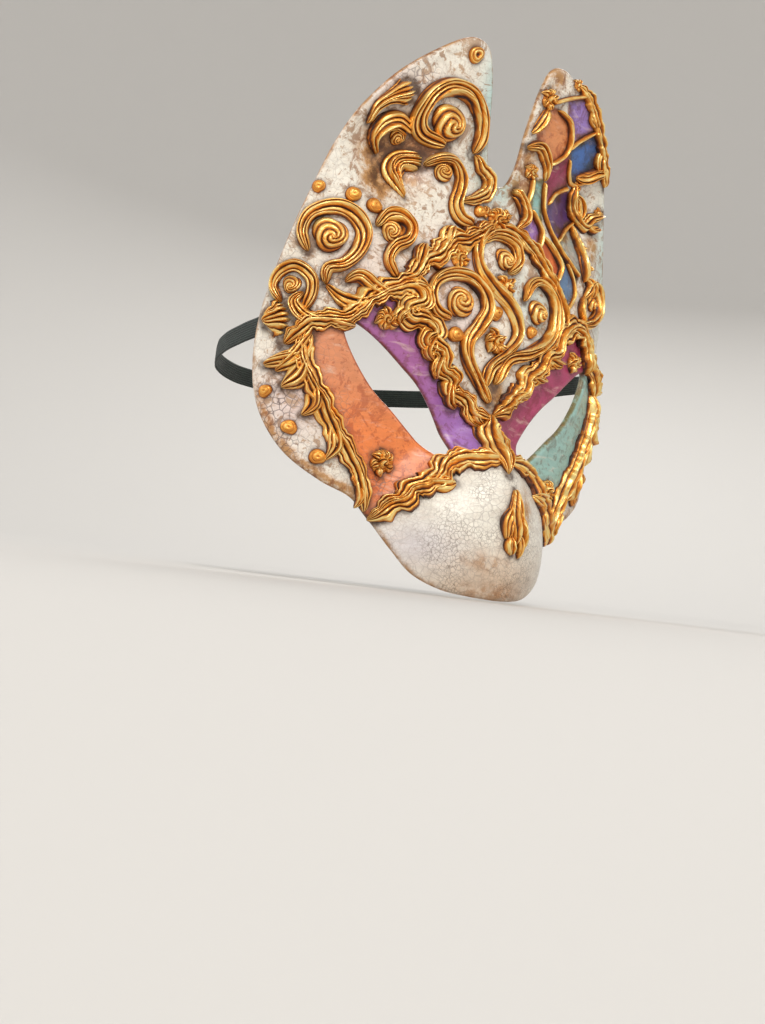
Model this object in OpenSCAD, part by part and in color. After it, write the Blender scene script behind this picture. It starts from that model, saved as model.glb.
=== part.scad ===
// Venetian cat mask: a papier-mache face with two tall ears and a short muzzle,
// covered with gilded paste scrolls, and held on by an elastic strap.
// The face looks along -Y, up is +Z, and the wearer's right hand is on the -X side.
// The origin is where the inside of the mask rests on the bridge of the nose.
// Places on the face are given as [u, v]: u is the distance round the face from the
// centre line, positive to the wearer's left, and v is the height.

/* [Face] */
// Width across the temples
mask_w = 182; // [160:2:210]
// How far the sides wrap back round the head
wrap_depth = 42; // [32:1:54]
// Thickness of the papier-mache wall
wall = 2.5; // [2:0.1:4]
// How far the muzzle stands out in front of the face
muzzle_out = 24; // [12:1:32]
// Height of the ridge along the nose
nose_ridge = 7.5; // [3:0.5:10]

/* [Ears] */
// How deep the hollow in each ear is pressed
ear_hollow = 7; // [2:0.5:9]
// How far the ear tips lean forward
ear_lean = 6; // [0:1:12]

/* [Ornament] */
// Height of the widest gilded scrolls above the face
relief = 4; // [2.5:0.5:5.5]
// How deep the paste is bedded into the face
bedding = 1; // [0.8:0.1:1.4]

/* [Strap] */
// Width of the elastic strap
strap_w = 8; // [5:0.5:9]
// Thickness of the elastic strap
strap_t = 1; // [0.8:0.1:1.4]

/* [Hidden] */

half_w = mask_w / 2;
// Distance round the face that turns the surface through one radian at the centre
turn_length = 91;
// How much faster the surface turns towards the temples
temple_turn = 0.263;
sphere_sides = 24;

// Outline of one half of the mask, from the notch between the ears to the chin edge
OUTLINE = [
    [0, 96], [4, 98], [8, 107], [10, 122], [13, 138], [17, 148], [23, 151], [31, 149], [45, 140],
    [58, 129], [69, 115], [77, 100], [84, 82], [91, 64], [98, 42], [102, 22], [101, 3], [95, -12],
    [84, -25], [69, -34], [56, -39], [48, -47], [41, -57], [33, -66], [22, -71], [11, -72.5], [0, -73]
];
notch_v = OUTLINE[0][1];
chin_v = OUTLINE[len(OUTLINE) - 1][1];
// Steps between two outline points
outline_steps = 3;
// Points down the centre line between the notch and the chin edge
centre_points = 18;
// Rows of the shell between the eye opening and the outline
shell_rows = 8;

eye_centre = [43, 5];
eye_half_length = 34;
eye_slant = 45;

// Route of the elastic from the temple to the middle of the back of the head
STRAP_ROUTE = [
    [80.5, 36, 27], [80.5, 43, 26.5], [80, 52, 25.5], [78, 65, 24], [75, 80, 22],
    [70, 96, 20], [62, 111, 18], [50.5, 125, 16.5], [36, 136, 15], [18.5, 143, 14.5],
    [0, 145.5, 14]
];
strap_steps = 3;
// Half width and wrap of the mask that the route is drawn for
route_half_w = 91;
route_wrap = 42;
// How far the route moves back for each millimetre of deeper wrap
route_follow = 0.7;

gold = "goldenrod";

// ---- small functions ----

function ease(t) = let (c = max(0, min(1, t))) c * c * (3 - 2 * c);
function hill(x, spread) = exp(-pow(x / spread, 2));
function dome(q) = q < 1 ? pow(1 - q, 2) : 0;
function mix(a, b, t) = a + (b - a) * t;
function flip_u(points) = [for (p = points) [-p[0], p[1]]];
function backwards(list) = [for (i = [len(list) - 1 : -1 : 0]) list[i]];

// A smooth curve through a few points, with the given number of steps between them
function curve_point(a, b, c, d, t) =
    b + (c - a) * (t / 2) + (2 * a - 5 * b + 4 * c - d) * (t * t / 2)
    + (3 * b - a - 3 * c + d) * (t * t * t / 2);
function smooth(points, steps) = let (last = len(points) - 1) [
    for (i = [0 : last - 1]) for (k = [0 : steps - 1])
        curve_point(points[max(i - 1, 0)], points[i], points[i + 1], points[min(i + 2, last)], k / steps),
    points[last]
];

// ---- the surface of the face ----

function turn(u) = (u / turn_length) * (1 + temple_turn * pow(abs(u) / 100, 3)) * 180 / PI;

// How far back the face is at a place, before it is set on the nose
function raw_depth(u, v) =
    wrap_depth * (1 - 0.3 * ease((v - 30) / 110)) * (1 - cos(turn(u)))
    - 3 * hill(v - 28, 26) * hill(u, 60)
    + 6 * ease((v - 40) / 60)
    - ear_lean * ease((v - 95) / 70)
    - nose_ridge * hill(u, 13) * ease((40 - v) / 60) * (1 - 0.6 * ease((-15 - v) / 30))
    - muzzle_out * dome(pow(pow(u / 51, 2) + pow((v + 52) / (v > -52 ? 50 : 42), 2), 1.5))
    + ear_hollow * dome(pow((abs(u) - 52) / 24, 2) + pow((v - 98) / 26, 2));

seat_shift = -raw_depth(0, 0) - wall;

function skin(u, v) = [half_w * sin(turn(u)), raw_depth(u, v) + seat_shift, v];
function skin_normal(u, v) = let (
        step = 0.5,
        n = cross(skin(u + step, v) - skin(u - step, v), skin(u, v + step) - skin(u, v - step))
    ) n / norm(n);
// A point at height h above the face
function raise(u, v, h) = skin(u, v) + h * skin_normal(u, v);

// ---- the papier-mache shell ----

// Distance from the eye's centre to the edge of its opening, in direction a
function eye_radius(a) = let (
        along = cos(a - eye_slant),
        across = sin(a - eye_slant),
        half_height = across > 0 ? 8.5 - 1.2 * along : 6.8 + 1.2 * along,
        roundness = 1.8
    ) pow(pow(abs(along) / eye_half_length, roundness) + pow(abs(across) / half_height, roundness),
          -1 / roundness);

half_edge = concat(
    smooth(OUTLINE, outline_steps),
    [for (i = [1 : centre_points]) [0, mix(chin_v, notch_v, i / (centre_points + 1))]]
);
edge_count = len(half_edge);
outline_count = edge_count - centre_points;

function eye_edge(p) = let (a = atan2(p[1] - eye_centre[1], p[0] - eye_centre[0]))
    eye_centre + eye_radius(a) * [cos(a), sin(a)];

// Every point of one skin of the shell: side is +1 or -1, and h is 0 outside or -wall inside
function skin_points(side, h) = [
    for (p = half_edge) let (e = eye_edge(p)) for (j = [0 : shell_rows])
        let (q = mix(e, p, j / shell_rows)) raise(side * q[0], q[1], h)
];

module shell_solid() {
    row = shell_rows + 1;
    skin_size = edge_count * row;
    // Blocks of points: left outside, left inside, right outside, right inside
    points = concat(skin_points(1, 0), skin_points(1, -wall), skin_points(-1, 0), skin_points(-1, -wall));
    function on_centre(k) = k >= outline_count - 1 || k == 0;
    // The right half uses the left half's points along the centre line
    function at(side, inside, k, j) =
        let (block = (side == 1 && on_centre(k) && j == shell_rows ? 0 : side * 2) + inside)
        block * skin_size + k * row + j;
    function wrap(k) = (k + 1) % edge_count;
    // Two triangles for four corners, turned round where the other side faces outwards
    function two_triangles(q, keep) = keep ? [[q[0], q[1], q[2]], [q[0], q[2], q[3]]]
        : [[q[2], q[1], q[0]], [q[3], q[2], q[0]]];
    faces = [
        for (side = [0, 1]) for (k = [0 : edge_count - 1])
            for (inside = [0, 1]) for (j = [0 : shell_rows - 1]) each two_triangles([
                at(side, inside, k, j), at(side, inside, k, j + 1),
                at(side, inside, wrap(k), j + 1), at(side, inside, wrap(k), j)
            ], side == inside),
        for (side = [0, 1]) for (k = [0 : edge_count - 1])
            each two_triangles([
                at(side, 0, k, 0), at(side, 0, wrap(k), 0), at(side, 1, wrap(k), 0), at(side, 1, k, 0)
            ], side == 0),
        for (side = [0, 1]) for (k = [0 : outline_count - 2])
            each two_triangles([
                at(side, 0, k, shell_rows), at(side, 1, k, shell_rows),
                at(side, 1, k + 1, shell_rows), at(side, 0, k + 1, shell_rows)
            ], side == 0)
    ];
    polyhedron(points, faces);
}

// ---- shapes that the paste is laid in ----

// Joins rings of equal size into one closed solid
module rings_solid(rings) {
    count = len(rings);
    size = len(rings[0]);
    points = [for (ring = rings) each ring];
    polyhedron(points, [
        for (k = [1 : size - 2]) [0, k, k + 1],
        for (i = [0 : count - 2]) for (k = [0 : size - 1]) let (
            n = (k + 1) % size, here = i * size, next = (i + 1) * size
        ) each [[here + n, here + k, next + k], [here + n, next + k, next + n]],
        for (k = [1 : size - 2]) (count - 1) * size * [1, 1, 1] + [0, k + 1, k]
    ]);
}

// A raised band laid on the face along a smooth route, with its widths at the start, middle and end
module band(route, widths, height = relief, steps = 2) {
    // The profile across a band: place from edge to edge, and share of its height
    profile = [[-1, -1], [-0.75, 0.7], [0, 1], [0.75, 0.7], [1, -1]];
    path = smooth(route, steps);
    last = len(path) - 1;
    rings_solid([
        for (i = [0 : last]) let (
            way = path[min(i + 1, last)] - path[max(i - 1, 0)],
            across = [way[1], -way[0]] / norm(way),
            t = 2 * i / last,
            width = t < 1 ? mix(widths[0], widths[1], ease(t)) : mix(widths[1], widths[2], ease(t - 1)),
            top = height * min(1, 0.45 + width / 12)
        ) [
            for (s = profile) let (q = path[i] + across * (s[0] * width / 2))
                raise(q[0], q[1], s[1] > 0 ? s[1] * top : -bedding)
        ]
    ]);
}

// A round bead pressed on the face
module bead(place, radius) {
    translate(raise(place[0], place[1], radius * 0.35))
        sphere(r = radius, $fn = sphere_sides);
}

// A flower of round petals about a bead
module rosette(place, radius, petals = 5) {
    bead(place, radius * 0.5);
    for (k = [0 : petals - 1])
        bead(place + radius * 0.55 * [cos(k * 360 / petals), sin(k * 360 / petals)], radius * 0.45);
}

// A fan of ribs that spread from one point
module fan(place, reach, lean, spread = 130, ribs = 7) {
    for (k = [0 : ribs - 1]) {
        a = lean + spread * (k / (ribs - 1) - 0.5);
        band([place, place + reach * [cos(a), sin(a)] * 0.6, place + reach * [cos(a), sin(a)]],
             [1.2, 2.2, 3], 3, 1);
    }
}

// ---- routes of the ropes, from the temple inwards ----

BROW_ROPE_RIGHT = [
    [-89, 17], [-84, 22], [-79, 27], [-72, 29], [-66, 31], [-62, 36], [-57, 41], [-48, 45], [-41, 46],
    [-38, 42], [-44, 38], [-42, 34], [-34, 34], [-30, 30], [-33, 26], [-26, 24], [-25, 17], [-20, 13],
    [-20, 8], [-13, 6], [-9, 1], [-1, 0]
];
BROW_ROPE_LEFT = [
    [0, 1], [7, 6], [11, 11], [17, 15], [19, 21], [26, 24], [30, 30], [38, 33], [40, 40], [48, 46],
    [56, 46], [62, 42], [68, 35], [76, 30], [84, 20]
];
FOREHEAD_ROPE_RIGHT = [
    [-47, 48], [-41, 52], [-38, 58], [-30, 62], [-25, 68], [-17, 70], [-9, 75], [-2, 80]
];
FOREHEAD_ROPE_LEFT = [
    [1, 80], [10, 78], [20, 73], [27, 67], [34, 61], [39, 54], [44, 47]
];
CHEEK_ROPE = [
    [-82, 22], [-84, 16], [-88, 8], [-85, 2], [-78, 1], [-74, -4], [-74, -10], [-68, -12], [-65, -18],
    [-65, -24], [-58, -26], [-55, -31], [-52, -37], [-50, -44]
];
MUZZLE_ROPE = [
    [-50, -48], [-45, -45], [-41, -40], [-37, -37], [-34, -32], [-28, -29], [-22, -22], [-16, -19],
    [-9, -18], [-2, -17]
];

// ---- parts: shell and strap ----

module shell() {
    color("linen") shell_solid();
}

module elastic_strap() {
    half = [
        for (p = STRAP_ROUTE)
            [p[0] * half_w / route_half_w, p[1] + (wrap_depth - route_wrap) * route_follow, p[2]]
    ];
    route = concat([for (p = half) [-p[0], p[1], p[2]]],
                   [for (i = [len(half) - 2 : -1 : 0]) half[i]]);
    path = smooth(route, strap_steps);
    last = len(path) - 1;
    end_length = strap_w * 0.4;
    side_count = 8;
    // The band's four edges are rounded off where its sides meet
    rounded = 0.8;
    near_flat = 0.9;
    function way(i) = let (d = path[min(i + 1, last)] - path[max(i - 1, 0)]) d / norm(d);
    // One ring of the flat band: moved along the route, and narrowed at the rounded ends
    function ring(i, along, narrow) = let (
            t = way(i),
            flat = cross(t, [0, 0, 1]) / norm(cross(t, [0, 0, 1])),
            rise = cross(flat, t)
        ) [
            for (k = [0 : side_count - 1]) let (
                a = (k + 0.5) * 360 / side_count,
                edge = 1 / max(abs(cos(a)), abs(sin(a)))
            ) path[i] + t * along
              + flat * (strap_t / 2 * edge * cos(a)) * (abs(sin(a)) > near_flat ? rounded : 1)
              + rise * (strap_w / 2 * narrow * edge * sin(a)) * (abs(cos(a)) > near_flat ? rounded : 1)
        ];
    color("darkslategray") rings_solid(concat(
        [ring(0, -end_length, 0.5), ring(0, -end_length / 2, 0.85)],
        [for (i = [0 : last]) ring(i, 0, 1)],
        [ring(last, end_length / 2, 0.85), ring(last, end_length, 0.5)]
    ));
}

// A square of glued paper over one end of the elastic, inside the temple
module strap_patch(side) {
    cells = 4;
    // How far it stands off the inside of the shell, and how far it is bedded in it
    thick = 1.8;
    bed = 0.6;
    // Its edges round the face, and its lower and upper edges
    u0 = 74;
    u1 = 87;
    v0 = 19;
    v1 = 35;
    rings = [
        for (i = [0 : cells]) let (u = side * mix(u0, u1, i / cells)) concat(
            [for (k = [0 : cells]) raise(u, mix(v0, v1, k / cells), -wall + bed)],
            [for (k = [cells : -1 : 0]) raise(u, mix(v0, v1, k / cells), -wall - thick)]
        )
    ];
    color("antiquewhite") rings_solid(side > 0 ? rings : backwards(rings));
}
module strap_patch_right() { strap_patch(-1); }
module strap_patch_left() { strap_patch(1); }

// ---- parts: right ear ----

module ear_tip_bead_right() { color(gold) bead([-24, 144], 3.2); }
module ear_plume_right() { color(gold) band([[-65, 108], [-63, 115], [-58, 120], [-51, 124]], [2, 4, 8]); }
module ear_hook_leaf_right() {
    color(gold) band([[-56, 98], [-60, 104], [-57, 110], [-51, 112], [-45, 109]], [2, 7, 4]);
}
module ear_lower_leaf_right() {
    color(gold) band([[-40, 96], [-46, 98], [-49, 92], [-45, 82]], [6, 9, 2]);
}
module ear_scroll_right() {
    color(gold) {
        band([
            [-16, 106], [-14, 113], [-16, 121], [-23, 128], [-33, 129], [-41, 124], [-44, 116], [-40, 109],
            [-32, 106]
        ], [5, 6.5, 5]);
        bead([-30, 116], 5);
    }
}
module ear_small_scroll_right() {
    color(gold) {
        band([
            [-13, 77], [-20, 78], [-23, 83], [-21, 90], [-21, 96], [-25, 101], [-31, 101], [-36, 97]
        ], [5, 5, 4]);
        bead([-29.5, 95], 3.2);
    }
}
module ear_base_leaf_right() {
    color(gold) band([[-15, 106], [-11, 101], [-6, 97], [-8, 91], [-13, 88], [-19, 86]], [3, 5, 3]);
}
module ear_base_bead_right() { color(gold) bead([-10, 83.5], 2.7); }

// ---- parts: right temple, brow and cheek ----

module temple_beads_right() {
    color(gold) {
        bead([-82, 80], 2.7);
        bead([-68, 79], 3.2);
        bead([-59, 76], 3.4);
    }
}
module temple_spiral_right() {
    color(gold) {
        band([
            [-76, 42], [-76, 48], [-70, 51], [-65, 57], [-63, 64], [-66, 70], [-72, 73], [-79, 72],
            [-85, 68], [-87, 61], [-85, 54]
        ], [4, 6, 5]);
        bead([-76, 61.5], 5);
    }
}
module brow_scroll_right() {
    color(gold) {
        band([
            [-48, 49], [-52, 55], [-50, 61], [-45, 65], [-44, 70], [-48, 73], [-54, 73], [-58, 69]
        ], [4, 5.5, 4]);
        bead([-51.5, 67], 3.6);
    }
}
module edge_spiral_right() {
    color(gold) {
        band([[-85, 32], [-82, 38], [-82, 44], [-88, 48], [-94, 45], [-96, 39], [-93, 34]], [4, 4.5, 3]);
        bead([-89, 40], 2.8);
    }
}
module temple_curl_right() {
    color(gold) band([[-88, 32], [-84, 28], [-78, 28], [-74, 32], [-74, 38]], [3, 4, 3]);
}
module scallop_right() { color(gold) fan([-99, 26], 11, 0); }
module scallop_left() { color(gold) fan([99, 26], 11, 180); }
module cheek_beads(side) {
    for (place = [[94, -2, 2.5], [83, -15, 2.9], [71, -25, 3.2]])
        bead([side * place[0], place[1]], place[2]);
}
module cheek_beads_right() { color(gold) cheek_beads(-1); }
module cheek_beads_left() { color(gold) cheek_beads(1); }
module cheek_leaf_right() { color(gold) band([[-96, 8], [-90, 10], [-82, 14]], [2, 5, 6]); }
module cheek_leaf_left() { color(gold) band([[96, 8], [90, 10], [82, 14]], [2, 5, 6]); }
module brow_rosette_right() { color(gold) rosette([-51, 32], 4.6); }
module brow_rosette_left() { color(gold) rosette([53, 32], 4.6); }
module cheek_rosette_right() { color(gold) rosette([-45, -24], 5, 6); }
module cheek_rosette_left() { color(gold) rosette([45, -24], 5, 6); }

// ---- parts: ropes ----

rope_widths = [6, 8, 6];
module brow_rope_right() { color(gold) band(BROW_ROPE_RIGHT, rope_widths); }
module brow_rope_left() { color(gold) band(BROW_ROPE_LEFT, rope_widths); }
module forehead_rope_right() { color(gold) band(FOREHEAD_ROPE_RIGHT, rope_widths); }
module forehead_rope_left() { color(gold) band(FOREHEAD_ROPE_LEFT, [5, 5.5, 4]); }
module cheek_rope_right() { color(gold) band(CHEEK_ROPE, rope_widths); }
module cheek_rope_left() { color(gold) band(flip_u(CHEEK_ROPE), rope_widths); }
module muzzle_rope_right() { color(gold) band(MUZZLE_ROPE, [6, 6, 5]); }
module muzzle_rope_left() { color(gold) band(flip_u(MUZZLE_ROPE), [6, 6, 5]); }

// ---- parts: forehead and nose ----

module forehead_knot() { color(gold) rosette([-1, 82], 6, 6); }
module forehead_loop() {
    color(gold) {
        band([
            [-2, 6], [-8, 14], [-14, 22], [-15, 29], [-10, 36], [-6, 43], [-8, 50], [-15, 55], [-24, 55],
            [-31, 51], [-33, 45], [-29, 39]
        ], [4, 5.5, 4.5]);
        bead([-20, 45.5], 4.6);
    }
}
module forehead_s_scroll() {
    color(gold) band([
        [-4, 78], [-10, 70], [-10, 61], [-4, 54], [5, 48], [10, 42], [11, 35], [5, 27], [-3, 20], [-5, 12]
    ], [5, 5.5, 4]);
}
module forehead_hook() {
    color(gold) band([[-8, 71], [-3, 74], [4, 75], [10, 72], [9, 65], [3, 62]], [3, 5, 4]);
}
module forehead_spiral() {
    color(gold) {
        band([
            [0, 14], [6, 24], [19, 30], [31, 38], [35, 47], [33, 56], [25, 61], [18, 58], [15, 51]
        ], [4, 5.5, 4]);
        bead([23, 48], 3.8);
    }
}
module forehead_flowers() {
    color(gold) {
        rosette([3, 57], 4.4);
        rosette([-1, 32], 4.8);
        rosette([-20, 62], 4);
    }
}
module forehead_beads() {
    color(gold) {
        bead([-1, 43], 3.2);
        bead([-23, 32], 3.3);
        bead([20, 39], 2.8);
    }
}
module bridge_leaf() { color(gold) band([[-1, 1], [-2, -5], [-2, -12], [-1, -17], [-1, -22]], [4, 10, 4]); }
module nose_leaf() { color(gold) band([[0, -29], [0, -35], [1, -41], [2, -47], [2, -53]], [3, 10, 8]); }

// ---- parts: left ear and temple ----

module ear_rosette_left() { color(gold) rosette([18, 137], 3.8); }
module ear_leaf_left() { color(gold) band([[19, 132], [16, 127], [12, 122]], [2, 4, 2], 3); }
module ear_scroll_left() { color(gold) band([[11, 115], [18, 117], [24, 111], [25, 104]], [3, 5, 2.5], 3.5); }
module ear_small_rosette_left() {
    color(gold) {
        bead([16, 106], 3.2);
        band([[16.5, 101], [16.5, 97], [15, 92]], [2, 2.2, 2], 2.5);
    }
}
module ear_base_hook_left() { color(gold) band([[8, 95], [13, 91], [15, 85], [10, 80]], [3, 5, 3]); }
// Thin gilded lines that frame the painted diamonds
module ear_lattice_left() {
    lines = [
        [[21, 136], [30, 140], [41, 144]],
        [[25, 134], [33, 131], [36, 124], [34, 117], [26, 111]],
        [[36, 120], [43, 126], [53, 132]],
        [[39, 117], [42, 111], [50, 109], [66, 116]],
        [[29, 95], [34, 101], [46, 107]],
        [[25, 104], [26, 93], [30, 86], [37, 79], [44, 74], [54, 69]],
        [[18, 91], [25, 83], [24, 75]],
        [[26, 81], [34, 76], [39, 70], [36, 63]],
        [[38, 81], [47, 88], [56, 94]]
    ];
    color(gold) for (line = lines) band(line, [2, 2.2, 2], 2.2, 2);
}
module ear_edge_rope_left() {
    color(gold) band([[33, 147], [42, 143], [50, 136], [58, 127], [64, 119], [70, 112]], [3, 4, 3], 3);
}
module ear_edge_scroll_left() {
    color(gold) band([[51, 110], [52, 102], [57, 97], [62, 94], [67, 98], [74, 101]], [3, 5, 3], 3.5);
}
module temple_knot_left() {
    color(gold) {
        band([[54, 93], [56, 85], [58, 77], [60, 68]], [3, 4, 4], 3);
        rosette([61, 74], 4);
    }
}
module temple_loop_left() {
    color(gold) band([[58, 48], [66, 51], [73, 57], [73, 65], [66, 68], [60, 61]], [4, 4.5, 3], 3.5);
}

shell();
elastic_strap();
strap_patch_right();
strap_patch_left();
ear_tip_bead_right();
ear_plume_right();
ear_hook_leaf_right();
ear_lower_leaf_right();
ear_scroll_right();
ear_small_scroll_right();
ear_base_leaf_right();
ear_base_bead_right();
temple_beads_right();
temple_spiral_right();
brow_scroll_right();
edge_spiral_right();
temple_curl_right();
scallop_right();
cheek_beads_right();
cheek_leaf_right();
brow_rosette_right();
cheek_rosette_right();
brow_rope_right();
forehead_rope_right();
cheek_rope_right();
muzzle_rope_right();
forehead_knot();
forehead_loop();
forehead_s_scroll();
forehead_hook();
forehead_spiral();
forehead_flowers();
forehead_beads();
bridge_leaf();
nose_leaf();
brow_rope_left();
forehead_rope_left();
cheek_rope_left();
muzzle_rope_left();
brow_rosette_left();
cheek_rosette_left();
cheek_leaf_left();
cheek_beads_left();
scallop_left();
ear_rosette_left();
ear_leaf_left();
ear_scroll_left();
ear_small_rosette_left();
ear_base_hook_left();
ear_lattice_left();
ear_edge_rope_left();
ear_edge_scroll_left();
temple_knot_left();
temple_loop_left();
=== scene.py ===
import logging
import math
from dataclasses import dataclass, field
from enum import Enum

import bpy
import numpy as np
from mathutils import Matrix, Vector, geometry, noise


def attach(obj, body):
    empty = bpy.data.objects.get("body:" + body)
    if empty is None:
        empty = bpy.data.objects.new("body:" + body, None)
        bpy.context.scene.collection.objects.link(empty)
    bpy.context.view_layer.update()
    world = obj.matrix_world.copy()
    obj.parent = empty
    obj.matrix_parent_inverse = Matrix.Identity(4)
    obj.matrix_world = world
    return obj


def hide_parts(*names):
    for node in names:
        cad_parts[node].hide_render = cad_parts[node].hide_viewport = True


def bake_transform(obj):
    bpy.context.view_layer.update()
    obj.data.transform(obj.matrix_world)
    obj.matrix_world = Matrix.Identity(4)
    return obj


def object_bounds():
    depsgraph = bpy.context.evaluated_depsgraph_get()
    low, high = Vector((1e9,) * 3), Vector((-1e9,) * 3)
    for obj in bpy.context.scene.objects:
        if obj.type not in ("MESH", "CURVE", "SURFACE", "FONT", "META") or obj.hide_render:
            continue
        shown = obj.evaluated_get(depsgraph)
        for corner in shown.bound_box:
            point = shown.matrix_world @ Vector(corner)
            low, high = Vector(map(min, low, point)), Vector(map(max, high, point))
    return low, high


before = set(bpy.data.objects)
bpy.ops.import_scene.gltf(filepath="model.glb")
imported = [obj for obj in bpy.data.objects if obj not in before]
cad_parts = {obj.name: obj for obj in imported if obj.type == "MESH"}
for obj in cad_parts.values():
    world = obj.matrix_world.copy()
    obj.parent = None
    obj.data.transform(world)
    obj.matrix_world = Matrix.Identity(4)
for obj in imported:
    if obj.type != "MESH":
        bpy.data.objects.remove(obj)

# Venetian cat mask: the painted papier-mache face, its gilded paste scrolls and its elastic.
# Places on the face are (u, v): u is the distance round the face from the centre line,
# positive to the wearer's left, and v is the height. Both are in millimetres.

CAD_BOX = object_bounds()
MM = 0.001
LOG = logging.getLogger("cat_mask")

Place = tuple[float, float]
Route = list[Place]


# ---------------------------------------------------------------- small sums

def ease(t: np.ndarray) -> np.ndarray:
    """Returns a smooth step from 0 to 1 as t goes from 0 to 1."""
    c = np.clip(t, 0.0, 1.0)
    return c * c * (3.0 - 2.0 * c)


def hill(x: np.ndarray, spread: float) -> np.ndarray:
    """Returns a bell of height 1 and the given spread."""
    return np.exp(-((x / spread) ** 2))


def dome(q: np.ndarray) -> np.ndarray:
    """Returns (1 - q) squared, and 0 where q is past 1."""
    return np.where(q < 1.0, (1.0 - np.minimum(q, 1.0)) ** 2, 0.0)


def linear(red: float, green: float, blue: float) -> tuple[float, float, float, float]:
    """Turns a colour from 0-255 screen values into linear light.

    Args:
        red, green, blue: Screen values from 0 to 255.

    Returns:
        The linear colour with an alpha of 1.
    """
    channels = [c / 255.0 for c in (red, green, blue)]
    lit = [c / 12.92 if c <= 0.04045 else ((c + 0.055) / 1.055) ** 2.4 for c in channels]
    return (lit[0], lit[1], lit[2], 1.0)


def smooth(points: list, steps: int) -> np.ndarray:
    """Draws a smooth curve through a few points.

    Args:
        points: The points, in two or three dimensions.
        steps: Steps between two neighbouring points.

    Returns:
        The points of the curve, one per row.
    """
    p = np.asarray(points, dtype=float)
    last = len(p) - 1
    curve = []
    for i in range(last):
        a, b, c, d = p[max(i - 1, 0)], p[i], p[i + 1], p[min(i + 2, last)]
        for k in range(steps):
            t = k / steps
            curve.append(
                b + (c - a) * (t / 2)
                + (2 * a - 5 * b + 4 * c - d) * (t * t / 2)
                + (3 * b - a - 3 * c + d) * (t ** 3 / 2)
            )
    curve.append(p[last])
    return np.array(curve)


def run_along(points: np.ndarray) -> np.ndarray:
    """Returns how far along a line each of its points is."""
    return np.concatenate([[0.0], np.cumsum(np.linalg.norm(np.diff(points, axis=0), axis=1))])


def even(points: np.ndarray, step: float) -> np.ndarray:
    """Spaces the points of a line evenly.

    Args:
        points: The points of the line.
        step: Distance wanted between two points.

    Returns:
        Points along the same line, about a step apart.
    """
    run = run_along(points)
    count = max(4, int(round(run[-1] / step)) + 1)
    marks = np.linspace(0.0, run[-1], count)
    return np.stack([np.interp(marks, run, column) for column in points.T], axis=1)


def lumps(places: np.ndarray, fineness: float, layer: float) -> np.ndarray:
    """Gives soft, uneven heights that are the same on every run.

    Args:
        places: Places, one per row.
        fineness: How quickly the heights change.
        layer: Which of many patterns it is.

    Returns:
        A height from about -1 to 1 for each place.
    """
    return np.array([noise.noise((a * fineness, b * fineness, layer)) for a, b in places])


def lay_of(along: np.ndarray, across: np.ndarray) -> np.ndarray:
    """Returns surface coordinates in metres, from millimetres along and across a strand."""
    return np.stack(np.broadcast_arrays(along, across), axis=-1) * MM


def with_ends(rows: np.ndarray, first: np.ndarray, last: np.ndarray) -> np.ndarray:
    """Closes both ends of a tube of points.

    Args:
        rows: The rings of the tube, rows by columns by two or three.
        first: The place in which a new first ring meets.
        last: The place in which a new last ring meets.

    Returns:
        The rings with one more at each end.
    """
    columns = rows.shape[1]
    return np.concatenate([
        np.repeat(first, columns, axis=1), rows, np.repeat(last, columns, axis=1)
    ])


def edge_distance(places: np.ndarray, corners: np.ndarray, closed: bool = True) -> np.ndarray:
    """Measures how far places are from a line of corners.

    Args:
        places: Places, one per row.
        corners: Corners of the line.
        closed: Whether the last corner joins the first.

    Returns:
        The distance of each place.
    """
    best = np.full(len(places), 1e9)
    ends = np.roll(corners, -1, axis=0) if closed else corners[1:]
    for a, b in zip(corners, ends):
        way = b - a
        share = np.clip((places - a) @ way / max(way @ way, 1e-9), 0.0, 1.0)
        best = np.minimum(best, np.linalg.norm(places - a - share[:, None] * way, axis=1))
    return best


def inside(places: np.ndarray, corners: np.ndarray) -> np.ndarray:
    """Says which places lie inside a closed line of corners.

    Args:
        places: Places, one per row.
        corners: Corners of the closed line.

    Returns:
        True for each place inside.
    """
    x, y = places[:, 0], places[:, 1]
    held = np.zeros(len(places), dtype=bool)
    for (ax, ay), (bx, by) in zip(corners, np.roll(corners, -1, axis=0)):
        if ay == by:
            continue
        crosses = ((ay > y) != (by > y)) & (x < (bx - ax) * (y - ay) / (by - ay) + ax)
        held ^= crosses
    return held


def coverage(places: np.ndarray, corners: np.ndarray, blur: float = 0.7) -> np.ndarray:
    """Returns 1 inside a closed line and 0 outside, with an edge blur mm wide each way."""
    away = edge_distance(places, corners)
    signed = np.where(inside(places, corners), away, -away)
    return np.clip(0.5 + signed / (2.0 * blur), 0.0, 1.0)


# ---------------------------------------------------------------- form of the face

class Side(Enum):
    """A side of the mask, as the wearer has it."""

    RIGHT = -1
    LEFT = 1


def mirrored(route: Route) -> Route:
    """Returns a route moved to the other side of the face."""
    return [(-u, v) for u, v in route]


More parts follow.
